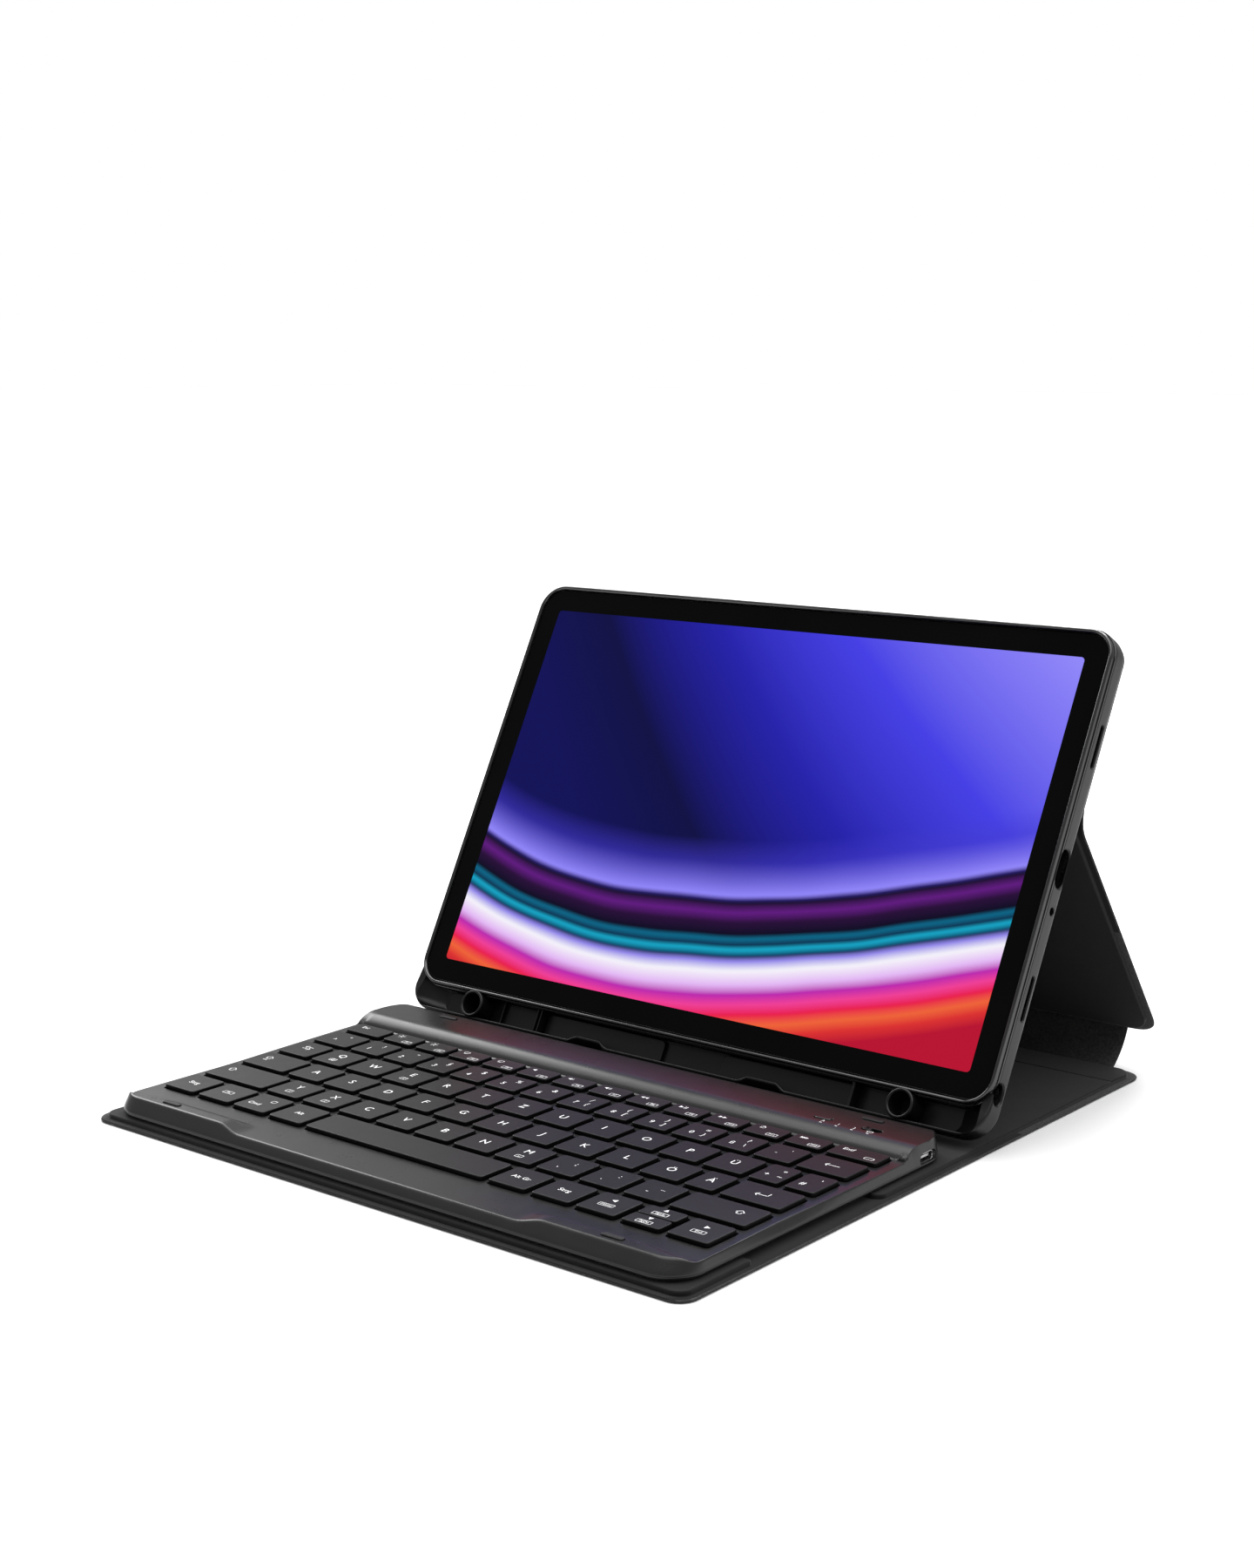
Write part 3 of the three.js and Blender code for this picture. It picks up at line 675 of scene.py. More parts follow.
def rear_leather():
    """The back of the base and half of the rear spine, and the other half up to the kick panel."""
    path = rear_path()
    half_way = len(path) // 2
    corner = 8.0
    narrow = HALF_WIDTH - SPINE_HALF_WIDTH
    stations = []
    for y in spaced(BASE_JOIN_Y, BASE_REAR_Y - corner):
        stations.append(((y, 0.0), (0.0, 1.0), HALF_WIDTH, FAR))
    for angle in range(8, 90, 8):
        s = corner * (1 - math.sin(math.radians(angle)))
        half = narrowed(s, HALF_WIDTH, narrow, corner, 3)
        stations.append(((BASE_REAR_Y - s, 0.0), (0.0, 1.0), half, FAR))
    spine = [((p.x, p.y), (n.x, n.y), SPINE_HALF_WIDTH, FAR) for p, n in path]
    base = build("base_leather_rear", sheet(stations + spine[:half_way + 1]))
    skin(base, ["base_outer_skin", "rear_spine"], PAINTED_LIGHT_FELT)
    start, end = round_hinge(SPINE_FOOT.y / MM, SPINE_FOOT.z / MM, 0.8, 0.6, 3)
    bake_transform(base)
    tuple(start)
    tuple(end)

    (top, inward) = path[-1]
    up = Vector((-math.cos(math.radians(KICK_ANGLE)), math.sin(math.radians(KICK_ANGLE))))
    kick = []
    foot = 9.0
    for angle in range(10, 91, 10):
        s = foot * (1 - math.cos(math.radians(angle)))
        p = top + up * s
        half = narrowed(s, HALF_WIDTH, narrow, foot, 3)
        kick.append(((p.x, p.y), (inward.x, inward.y), half, FAR))
    for s in spaced(foot, KICK_JOIN)[1:]:
        p = top + up * s
        kick.append(((p.x, p.y), (inward.x, inward.y), HALF_WIDTH, FAR))
    lower = build("kick_leather_lower", sheet(spine[half_way:] + kick))
    skin(lower, ["kick_outer_skin"], PAINTED_LIGHT_FELT)
    start, end = round_hinge(KICK_FOOT.y / MM, KICK_FOOT.z / MM, 0.0, 1.0, 3)
    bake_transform(lower)
    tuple(start)
    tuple(end)
    return top + up * KICK_JOIN, inward, up


def kick_leather(start, inward, up):
    """Up the kick panel, over the fold in one smooth curve, and down to a crease on the back cover."""
    fold = Vector((FOLD.y, FOLD.z)) / MM
    e_v = Vector((math.cos(TRAY_TILT), math.sin(TRAY_TILT)))
    e_n = Vector((-math.sin(TRAY_TILT), math.cos(TRAY_TILT)))
    run = (fold - start).dot(up)
    points = [(start + up * s, inward) for s in spaced(0.0, run - 9.0)]
    bend_from = start + up * (run - 7.0)
    bend_to = fold + e_v * 5.2 + e_n * 0.05
    corner_from = bend_from + up * 4.6
    corner_to = bend_to - e_v * 3.6 - e_n * 1.1
    for i in range(15):
        t = i / 14
        a, b, c, d = (1 - t) ** 3, 3 * t * (1 - t) ** 2, 3 * t * t * (1 - t), t ** 3
        p = bend_from * a + corner_from * b + corner_to * c + bend_to * d
        q = (corner_from - bend_from) * (1 - t) ** 2 + (corner_to - corner_from) * 2 * t * (1 - t)
        q += (bend_to - corner_to) * t * t
        q.normalize()
        points.append((p, Vector((-q.y, q.x))))
    total = len(points)
    stations = []
    for i, (p, n) in enumerate(points):
        from_end = (points[-1][0] - p).length if i > total - 8 else FAR
        stations.append(((p.x, p.y), (n.x, n.y), HALF_WIDTH, min(from_end, FAR)))
    leather = build("kick_leather_upper", sheet(stations))
    skin(leather, [])
    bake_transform(leather)


def pressed_line(y, top, half):
    """A shallow groove across a lining, to cut out of it."""
    section = [(-0.55, 0.3), (-0.5, 0.02), (-0.22, -0.2), (0.22, -0.2), (0.5, 0.02), (0.55, 0.3)]
    return loft([[(x, y + a, top + b) for a, b in section] for x in (-half, half)])


def lining_plate(name, node, body, y0, y1, top, radii, matrix=TABLE, crease=None):
    """A padded lining with a soft edge, hollow under its face where the board lies."""
    half = HALF_WIDTH - LINING_INSET

    def shape(inset):
        shrunk = [max(r - inset, 0.3) for r in radii]
        return inset_box((-half, half, y0, y1), inset, shrunk, 8, (24, 12))

    low = LEATHER + 0.01
    hollow = [(0.9, top - 0.45), (0.9, low)]
    obj = build(name, plate(shape, hollow + rim(low, top, 0.05, 0.55, 5)), matrix)
    if crease:
        cut(obj, pressed_line(crease, top, half + 5))
    finished(obj, body, [node], "lining", LINING, sharp=45)


def linings():
    lining_plate(
        "base_lining_pad", "base_lining", "base_panel", BASE_FRONT_Y + 2.8, BASE_REAR_Y - 2.8,
        PANEL_TOP, [3.8, 3.8, 6.6, 6.6], crease=BASE_REAR_Y - 19.5,
    )
    lining_plate(
        "flap_lining_pad", "flap_lining", "flap_panel", FLAP_FRONT_Y + 2.4, FLAP_REAR_Y - 2.8,
        PANEL_TOP, [4.6, 4.6, 1.2, 1.2],
    )
    lining_plate(
        "kick_lining_pad", "kick_lining", "kick_panel", -106.3, -2.8, KICK_TOP, [6.6, 6.6, 0.8, 0.8], KICK,
    )


# ---------------------------------------------------------------- tray

POCKET = {"half": 127.2, "bottom": -9.15, "top": 157.0, "radius": 8.8}
RIM_LIFTS = [(-47.5, -43.5, -33.0, -29.0), (31.0, 35.0, 47.0, 51.0)]  # finger cut-outs in the rim


def rim_lift(x, v, n):
    """How far the trough's lower wall steps up the tray at its two finger cut-outs."""
    if v > -15:
        return 0.0
    rise = sum(ease((x - a) / (b - a)) * ease((d - x) / (d - c)) for a, b, c, d in RIM_LIFTS)
    return 2.0 * rise * ease((n + 5) / 6)


def rim_height(v):
    """The front of the walls: high along the trough, low beside the bead round the tablet."""
    return 0.9 - 1.7 * ease((v + 17.0) / 12.0)


def tray_shape(inset, n, drop):
    s = SHELL
    box = (-s["half"], s["half"], s["bottom"], s["top"])
    points = inset_box(box, inset, max(s["radius"] - inset, 1.0), 10, (110, 30))
    return [(x, v + rim_lift(x, v, n), n + drop * (rim_height(v) - 0.9)) for x, v in points]


def tray_body():
    """The outer shell from its back, round the side band and over the walls' front edges, as (inset,
    depth, share of the rim's drop)."""
    profile = [
        (3.0, -8.2, 0), (1.1, -8.2, 0), (0.65, -8.05, 0), (0.3, -7.7, 0), (0.08, -7.2, 0), (0.0, -6.6, 0),
        (0.0, -4.5, 0), (0.0, -2.6, 0), (0.0, -0.6, 0.6), (0.04, 0.2, 1), (0.2, 0.62, 1), (0.45, 0.84, 1),
        (0.8, 0.9, 1), (1.3, 0.9, 1), (2.3, 0.88, 1), (5.5, 0.86, 1), (6.0, -1.6, 0),
    ]
    return loft([tray_shape(inset, n, drop) for inset, n, drop in profile])


def pocket_shape(offset):
    p = POCKET
    box = (-p["half"], p["half"], p["bottom"], p["top"])
    return inset_box(box, -offset, p["radius"] + offset, 10, (90, 30))


def bead():
    """The lip that holds the tablet, with the fine groove outside it."""
    profile = [
        (0.0, -7.6), (0.0, 0.25), (0.05, 0.52), (0.18, 0.8), (0.38, 1.02), (0.62, 1.17), (0.88, 1.2),
        (1.1, 1.12), (1.28, 0.9), (1.4, 0.5), (1.48, 0.0), (1.54, -0.5), (1.68, -0.85), (1.88, -0.8),
        (2.02, -0.9), (2.1, -1.2), (2.1, -2.5), (1.7, -3.0), (1.4, -7.6),
    ]
    return loft([at_height(pocket_shape(offset), n) for offset, n in profile], ring=True)


def beside_bead(x):
    """How far the trough reaches up beside the bead's lower corners."""
    radius = POCKET["radius"] + 1.7
    past = min(max(abs(x) - (POCKET["half"] - POCKET["radius"]), 0.0), radius * 0.8)
    return radius - math.sqrt(radius ** 2 - past ** 2)


def trough_cutter():
    t = TROUGH

    def loop(depth, n, flare):
        x = t["half"] - 9.0 * depth ** 1.3 + flare
        low, high = t["bottom"] + 0.3 * depth - flare, t["top"] - 0.3 * depth + flare
        round_low = min(t["radius"] - 2 * depth, (high - low) / 2 - 0.6)
        points = outline(-x, x, low, high, [round_low, round_low, 0.6, 0.6], 8, (120, 4))
        middle = (low + high) / 2
        lifts = [rim_lift(px, pv, n) + (beside_bead(px) if pv > middle else 0) for px, pv in points]
        return [(px, pv + lift, n) for (px, pv), lift in zip(points, lifts)]

    levels = [(1.0, t["floor"], -0.5), (1.0, t["floor"] + 0.15, -0.2), (0.95, t["floor"] + 0.5, 0)]
    levels += [(0.6, -4.5, 0), (0.25, -2.0, 0), (0.05, 0.2, 0), (0.0, 0.6, 0.06), (0.0, 0.82, 0.18)]
    levels += [(0.0, 0.92, 0.4), (0.0, 4.0, 0.45)]
    return loft([loop(*level) for level in levels])


def pocket_cutter():
    return loft([at_height(pocket_shape(0), n) for n in (-6.15, 4.0)])


def hole_along(axis, centre, length, width, start, stop, flare=0.35):
    """A rounded hole through a wall, flared where it comes out. Its length runs up the tray on the side
    walls and across it in the top wall; centre is (place along the wall, n)."""
    radius = min(length, width) / 2 - 0.02
    place, n = centre
    direction = 1 if stop > start else -1
    loops = []
    levels = [(start, 0.0), (stop - direction * flare, 0.0), (stop, flare), (stop + direction * 3, flare)]
    for at, grow in levels:
        along, over = length / 2 + grow, width / 2 + grow
        loop = outline(place - along, place + along, n - over, n + over, radius + grow, 6)
        if axis == "x":
            loops.append([(at, a, b) for a, b in loop])
        else:
            loops.append([(a, at, b) for a, b in loop])
    return loft(loops)


def disc_loops(x, v, levels, steps=48):
    """A turned form: (radius, n) levels round a centre."""
    angles = [2 * math.pi * i / steps for i in range(steps)]
    return [[(x + r * math.cos(a), v + r * math.sin(a), n) for a in angles] for r, n in levels]


def round_camera(levels):
    """A turned form round the rear camera's axis."""
    return loft(disc_loops(CAMERA_HOLE["x"], CAMERA_HOLE["v"], levels))


# Through the right wall: place up the tray, depth, length, width, where the cut starts, and flare.
RIGHT_HOLES = [
    (PORT_V, -4.4, 13.6, 6.2, 125, 0.5),  # charging port
    (59.3, -4.8, 2.8, 2.7, 125, 0.2),  # microphone
    (-4.6, -3.4, 7.4, 5.2, 110, 0.5),  # the pen's way out
]
BUTTON_SLOTS = [(-84, -70.7), (-61.8, -53.7), (-49.3, -41.3)]  # stretches of the top wall
TOP_PINHOLE = (27.0, 158.2)


def tray_holes():
    edge = SHELL["half"]
    holes = []
    for side in (1, -1):
        for v in SPEAKER_VS:
            holes.append(hole_along("x", (v, -4.75), 15.6, 1.9, side * 125, side * edge))
    for v, n, length, width, start, flare in RIGHT_HOLES:
        holes.append(hole_along("x", (v, n), length, width, start, edge, flare))
    for x0, x1 in BUTTON_SLOTS:
        holes.append(hole_along("y", ((x0 + x1) / 2, -3.2), x1 - x0, 3.2, 155, SHELL["top"], 0.3))
    holes.append(loft(disc_loops(*TOP_PINHOLE, [(0.45, 3.0), (0.45, -2.0)], 16)))
    radius = CAMERA_HOLE["radius"]
    holes.append(round_camera([(radius + 0.4, -14), (radius, -8), (radius, -4)]))
    return holes


def pen_ring(x):
    """A round collar that stands in the trough and holds the pen's end."""
    r = PEN_RING
    wall = r["outer"] - r["inner"]
    levels = [(r["outer"], -7.1), (r["outer"], 1.3)]
    for angle in range(0, 181, 20):
        a = math.radians(angle)
        levels.append((r["inner"] + wall / 2 * (1 + math.cos(a)), 1.35 + wall / 2 * math.sin(a)))
    levels += [(r["inner"], 1.3), (r["inner"] - 0.25, -6.6), (r["inner"] - 0.25, -7.1)]
    return loft(disc_loops(x, r["v"], levels), ring=True)


def trough_rib(x, half, top):
    """A rib across the trough, rounded along its top."""
    low, high = TROUGH["bottom"] - 0.2, TROUGH["top"] + 0.4
    section = [(-half, -7.2), (half, -7.2), (half, top - half)]
    for angle in range(0, 181, 30):
        a = math.radians(angle)
        section.append((half * math.cos(a), top - half + half * math.sin(a)))
    section.append((-half, top - half))
    return loft([[(x + a, v, n) for a, n in section] for v in (low, high)])


def floor_pad(x0, x1, top):
    """A slightly raised panel of the trough's floor."""
    box = (x0, x1, TROUGH["bottom"] - 0.3, TROUGH["top"] - 0.9)
    edge = rim(TROUGH["floor"] - 0.4, top, 0.02, 0.3, 3)
    return plate(lambda inset: inset_box(box, inset, 1.6, 5), edge)


def trough_details():
    """The pen rings, a pair of thin ribs, two stouter ones, and the floor's raised panels."""
    parts = [pen_ring(-PEN_RING["x"]), pen_ring(PEN_RING["x"])]
    parts += [trough_rib(x, 0.28, -1.6) for x in (-66.7, -64.9)]
    parts += [trough_rib(-PEN_RING["x"] + 10.5, 0.4, -5.2), trough_rib(75.7, 0.7, -1.8)]
    parts += [floor_pad(-64.0, -8.0, -5.4), floor_pad(18.5, 74.5, -5.6), floor_pad(-115, -103.5, -6.0)]
    return parts


def tray():
    holes = merged(*tray_holes())
    body = build("tray_shell", tray_body(), TRAY)
    cut(body, trough_cutter(), pocket_cutter(), holes, matrix=TRAY)
    lip = build("bead", bead(), TRAY)
    cut(lip, holes, matrix=TRAY)
    use_material(lip, 1)
    join(body, lip, build("details", merged(*trough_details()), TRAY))
    finished(body, "tray", ["shell_tray"], "tray_rubber", TPU, TPU_LIP, sharp=38)


def back_cover():
    """Leather over the board behind the top half of the tray, with a hole for the camera."""
    box = (-HALF_WIDTH, HALF_WIDTH, SHELL["bottom"] + 115.5, SHELL["top"] - 0.6)

    def shape(inset):
        return inset_box(box, inset, [0.3, 0.3, 9 - inset, 9 - inset], 8, (24, 8))

    seam = [(SEAM_INSET + 0.35, 0.0), (SEAM_INSET, SEAM_DEPTH), (SEAM_INSET - 0.35, 0.0)]
    profile = [(12.0, COVER_BACK_N)] + [(inset, COVER_BACK_N + dip) for inset, dip in seam]
    cover = build("back_cover_leather", plate(shape, profile + rim(COVER_BACK_N, -8.3, 0.8, 0.2)), TRAY)
    mouth, throat = CAMERA_HOLE["radius"] + 0.35, CAMERA_HOLE["radius"] - 0.35
    levels = [(mouth, -12.0), (mouth, COVER_BACK_N), (throat + 0.2, COVER_BACK_N + 0.2)]
    levels += [(throat, COVER_BACK_N + 0.5), (throat, -7.0)]
    cut(cover, round_camera(levels), matrix=TRAY)
    finished(cover, "tray", ["back_cover_skin"], "leather", LEATHER_SKIN, sharp=45)


# ---------------------------------------------------------------- tablet

GLASS_DEPTH = 0.7
FRONT_CAMERA_V = 152.6
LENS_RING = 6.6  # radii of the rear camera's ring and of its glass
LENS_GLASS = 4.6


def tablet():
    low, high = local_box("tablet_body", TRAY)

    def shape(inset):
        box = (low.x, high.x, low.y, high.y)
        return inset_box(box, inset, 8.5 - inset * 0.9, 10, (8, 8))

    body = build("tablet_housing", plate(shape, rim(low.z, -0.12, 2.2, 0.35, 6)), TRAY)
    port = hole_along("x", (PORT_V, -3.6), 9.0, 3.0, 121, high.x, 0.15)
    slots = []
    for v in SPEAKER_VS:
        for side in (1, -1):
            slots.append(hole_along("x", (v, -3.4), 13.0, 1.0, side * 124, side * high.x, 0.1))
    cut(body, merged(port, *slots), matrix=TRAY)
    steps = [(LENS_RING, 0.3), (LENS_RING, -0.9), (LENS_RING - 0.3, -1.25), (LENS_RING - 0.7, -1.4)]
    steps += [(LENS_GLASS + 0.1, -1.4), (LENS_GLASS, -1.1)]
    ring = build("ring", round_camera([(radius, low.z + depth) for radius, depth in steps]), TRAY)
    glass = build("lens", round_camera([(LENS_GLASS, low.z - 0.9), (LENS_GLASS, low.z - 1.15)]), TRAY)
    use_material(glass, 1)
    join(body, ring, glass)
    finished(body, "tablet", ["tablet_body"], "tablet_metal", TABLET_METAL, GLASS, sharp=40)

    glass_box = local_box("tablet_bezel", TRAY)
    screen_box = local_box("tablet_display", TRAY)

    def face(corners, inset, radius, n):
        low, high = corners
        return at_height(inset_box((low.x, high.x, low.y, high.y), inset, radius, 10, (8, 8)), n)

    loops = [face(glass_box, inset, 8.3 - inset, n) for inset, n in rim(-GLASS_DEPTH, 0.0, 0.02, 0.22)]
    loops += [face(screen_box, -0.02, 1.5, n) for n in (0.0, -GLASS_DEPTH)]
    bezel = build("tablet_glass_edge", loft(loops, ring=True), TRAY)
    eye = loft(disc_loops(0, FRONT_CAMERA_V, [(1.5, -0.1), (1.5, 0.012), (1.2, 0.012)], 32))
    join(bezel, build("eye", eye, TRAY))
    finished(bezel, "tablet", ["tablet_bezel"], "tablet_glass", GLASS, sharp=30)

    flat = [face(screen_box, 0.0, 1.5, n) for n in (-GLASS_DEPTH, 0.0)]
    screen = build("tablet_screen", loft(flat), Matrix.Scale(MM, 4))
    screen.matrix_world = TRAY @ Matrix.Scale(1 / MM, 4)
    finished(screen, "tablet", ["tablet_display"], "tablet_display", DISPLAY, sharp=30, weighted=False)


# ---------------------------------------------------------------- keyboard case


def soft_min(a, b, radius):
    """The lower of two heights, blended where they are within radius of each other."""
    h = max(radius - abs(a - b), 0.0) / radius
    return min(a, b) - h * h * radius * 0.25


RIDGE_ENDS = (-71.0, 60.0)  # where the left grip starts to fade and the right one to rise
RIDGE_FADE = 11.0
RIDGE_BACK_Y = -128.6
BAR_FOOT_Y = -21.1  # where the bar's front slope starts
BAR_SLOPE = 8.0  # how deep that slope is
BAR_LEFT_X = -118.0  # beyond it the slope is gentler
BAR_ROUND_Y = 0.8  # where the bar starts to round over its rear edge
BAR_DROP = 6.2  # how far it falls there


def ridge_height(x, y):
    """The two grips along the front edge: a crest that steps down softly towards the middle."""
    left = 1 - ease((x - RIDGE_ENDS[0]) / RIDGE_FADE)
    right = ease((x - RIDGE_ENDS[1]) / RIDGE_FADE)
    back = RIDGE_BACK_Y - 2.2 * ease((abs(x) - 100) / 20)
    return max(left, right) * (1 - ease((y - back + 2.2) / 4.6)) * (RIDGE_TOP - DECK)


def bar_height(x, y):
    """The raised bar behind the keys, rounded over its rear edge."""
    left_end = ease((BAR_LEFT_X - x) / 2.5)
    along = min(max((y - BAR_FOOT_Y) / (BAR_SLOPE + 1.2 * left_end), 0.0), 1.0)
    front = (1 - (1 - along) ** 2.3) * ease(along / 0.16)  # steep at its foot, then flatter
    top = DECK + (BAR_TOP - DECK) * front
    over = min(max((y - BAR_ROUND_Y) / (KEYBOARD["rear"] - BAR_ROUND_Y), 0.0), 1.0)
    return top - BAR_DROP * (1 - math.sqrt(1 - over ** 2.2))


def deck_height(x, y):
    return bar_height(x, y) + ridge_height(x, y)


CASE_SPLIT = 4.5  # the seam between the top frame and the bottom case
CASE_PARTS = (170, 96)  # how finely the long and the short sides are divided
CREST_ROUNDING = 0.85  # where the sloping side meets the deck
ABOVE = 14.0  # a height above everything on the keyboard, where cutters end


def case_outline(inset):
    k = KEYBOARD
    box = (-k["half"], k["half"], k["front"], k["rear"])
    return inset_box(box, inset, k["radius"] - inset, 12, CASE_PARTS)


def well_outline():
    w = WELL
    return outline(-w["half"], w["half"], w["front"], w["rear"], w["radius"], 12, CASE_PARTS)


def side_slope(outer_x, outer_y):
    """How steeply the case rises at its edge, by the way that the edge faces."""
    k = KEYBOARD
    centre_x = max(min(outer_x, k["half"] - k["radius"]), -k["half"] + k["radius"])
    centre_y = max(min(outer_y, k["rear"] - k["radius"]), k["front"] + k["radius"])
    facing = Vector((outer_x - centre_x, outer_y - centre_y))
    facing.normalize()
    slope = 1.95 * facing.x ** 2 + (1.28 if facing.y < 0 else 7.0) * facing.y ** 2
    beside_port = ease((outer_y + 14.5) / 2.0) * ease((0.5 - outer_y) / 3.0) * (facing.x > 0.9)
    return slope + 2.6 * beside_port


def top_frame():
    """The keyboard's upper shell, in loops from its outer edge to the key well, closest at the crest."""
    outer, inner = case_outline(0.0), well_outline()
    steps = [0, 0.004, 0.01, 0.018, 0.028, 0.04, 0.055, 0.07, 0.085]
    steps += [0.1 + 0.0085 * i for i in range(17)]
    steps += [0.25 + 0.75 * i / 30 for i in range(1, 31)]
    loops = [at_height(inner, CASE_SPLIT), at_height(outer, CASE_SPLIT)]
    for t in steps:
        loop = []
        for (ox, oy), (ix, iy) in zip(outer, inner):
            x, y = ox + (ix - ox) * t, oy + (iy - oy) * t
            reach = math.hypot(x - ox, y - oy)
            rise = CASE_SPLIT + 0.25 + side_slope(ox, oy) * reach + 0.35 * (1 - math.exp(-reach / 0.25))
            loop.append((x, y, soft_min(rise, deck_height(x, y), CREST_ROUNDING)))
        loops.append(loop)
    return loft(loops, ring=True)


def pill_cutter(x0, x1, y, half, floor):
    """An oval recess sunk from above, with a softened edge at the bar's top."""
    flare = 0.18
    levels = [(0.25, floor), (0.0, floor + 0.25), (0.0, BAR_TOP - 0.2), (-flare, BAR_TOP + 0.02)]
    levels.append((-flare, ABOVE))
    box = (x0, x1, y - half, y + half)
    return loft([at_height(inset_box(box, inset, half - inset - 0.02), z) for inset, z in levels])


def pill(x0, x1, y, half, bottom, top, edge):
    """An oval plate with a rounded upper edge."""
    box = (x0, x1, y - half, y + half)
    return plate(lambda inset: inset_box(box, inset, half - inset - 0.01), rim(bottom, top, 0.05, edge))


def usb_hole():
    low, high, y = box_mm("usb_c_port")
    return hole_along("x", (y, (low.z + high.z) / 2), 9.3, 3.7, 112, KEYBOARD["half"] - 0.75, 0.35)


def hole_for_key(box):
    return loft([at_height(inset_box(box, -0.55, 1.6, 4), z) for z in (3.0, ABOVE)])


def key_grid():
    """The web between the keys, level with the deck, with a hole for each key."""
    grid = build("grid", loft([at_height(well_outline(), z) for z in (6.6, DECK)]))
    holes = [hole_for_key(spot[:4]) for spot in key_spots()]
    cut(grid, merged(*holes))
    return grid


SWITCH_TRAVEL = joint("power_switch_slide")["range_m"][1] / MM
CONTROL_FOOT = 9.95  # where the switch's knob and the button start, down in their recesses


def keyboard_case():
    frame_top = build("keyboard_top", top_frame())
    switch_low, switch_high, switch_y = box_mm("power_switch")
    slot = pill_cutter(switch_low.x - 0.35, switch_high.x + SWITCH_TRAVEL + 0.7, switch_y, 1.5, 9.9)
    button_low, button_high, button_y = box_mm("connect_button")
    ring = pill_cutter(button_low.x - 0.25, button_high.x + 0.25, button_y, 1.55, 8.9)
    recesses = [pad_recess(*place) for place in pad_places()]
    cut(frame_top, merged(slot, ring, usb_hole(), *recesses))
    join(frame_top, key_grid())
    nodes = ["keyboard_top_frame"]
    finished(frame_top, "keyboard", nodes, "keyboard_case", CASE_PLASTIC, sharp=32, weighted=False)

    profile = [(3.0, 2.7), (1.5, 2.7), (0.9, 2.82), (0.4, 3.15), (0.12, 3.6), (0.05, 4.1)]
    profile += [(0.1, 4.35), (0.35, 4.4), (2.2, 4.4), (2.2, 3.75)]
    bottom = build("keyboard_bottom", plate(case_outline, profile))
    finished(bottom, "keyboard", ["keyboard_bottom_case"], "keyboard_case", CASE_PLASTIC, sharp=40)

    knob = build("switch_knob", merged(
        pill(switch_low.x, switch_high.x, switch_y, 1.15, CONTROL_FOOT, switch_high.z - 0.25, 0.35),
        pill(switch_low.x + 1.2, switch_low.x + 2.2, switch_y, 0.8, 11.0, switch_high.z, 0.25),
    ))
    finished(knob, "power_switch", ["power_switch"], "keyboard_case", KEY_PLASTIC, sharp=50)
    half = (button_high.y - button_low.y) / 2
    shape = pill(button_low.x, button_high.x, button_y, half, CONTROL_FOOT, button_high.z, 0.45)
    button = build("connect_pill", shape)
    finished(button, "connect_button", ["connect_button"], "keyboard_case", CASE_PLASTIC, sharp=50)
    usb_port()
    bar_lights()


def usb_port():
    """The port's metal shell, open to the side, with the tongue inside it."""
    low, high, _ = box_mm("usb_c_port")

    def loop(x, shrink):
        radius = (high.z - low.z) / 2 - shrink - 0.02
        return [(x, y, z) for y, z in inset_box((low.y, high.y, low.z, high.z), shrink, radius)]

    mouth = high.x
    levels = [(low.x, 0.0), (mouth - 0.12, 0.0), (mouth, 0.1), (mouth, 0.28), (mouth - 0.12, 0.36)]
    levels.append((low.x + 1.0, 0.36))
    blade = outline(low.y + 1.4, high.y - 1.4, low.z + 1.25, high.z - 1.25, 0.1, 3)
    tongue = [[(x, y, z) for y, z in blade] for x in (low.x + 0.9, mouth - 0.9)]
    port = build("usb_c_shell", merged(loft([loop(*level) for level in levels]), loft(tongue)))
    finished(port, "keyboard", ["usb_c_port"], "port_metal", PLATED, sharp=40)


PAD_NODES = [f"spacer_pad_{end}_{side}" for end in ("front", "rear") for side in ("left", "right")]
PAD_REACH = 4.1  # half a pad's length


def pad_places():
    for node in PAD_NODES:
        low, high, y = box_mm(node)
        yield (low.x + high.x) / 2, y, high.z


def pad_recess(x, y, top):
    half = 1.3
    shape = outline(x - PAD_REACH - 0.2, x + PAD_REACH + 0.2, y - half, y + half, half - 0.02, 6)
    return loft([at_height(shape, z) for z in (top - half, ABOVE)])


def spacer_pads():
    for node, (x, y, top) in zip(PAD_NODES, pad_places()):
        shape = pill(x - PAD_REACH, x + PAD_REACH, y, 1.1, top - 1.1, top, 0.4)
        pad = build(node.replace("spacer", "rubber"), shape)
        finished(pad, "keyboard", [node], "pad_rubber", RUBBER, sharp=50)


def bar_lights():
    """Four small light windows in the bar, with a printed mark behind each."""
    low, high, y = box_mm("status_light_bar")
    places = [low.x + 0.4 + (high.x - low.x - 0.8) * i / 3 for i in range(4)]
    windows = [pill(x - 0.5, x + 0.5, y, 0.22, 10.6, 11.46, 0.06) for x in places]
    lights = build("light_windows", merged(*windows))
    finished(lights, "keyboard", ["status_light_bar"], "light_guide", LENS, sharp=50)
    marks = [text_shape(mark, 1.9, x, y + 1.7) for mark, x in zip("A12", places)]
    marks.append(box_shape(places[3], y + 1.7, 2.0, 1.2))
    printed = build("bar_marks", raised(merged(*marks), BAR_TOP + 0.03))
    finished(printed, "keyboard", [], "keyboard_case", INK, sharp=50, weighted=False)


# ---------------------------------------------------------------- legends


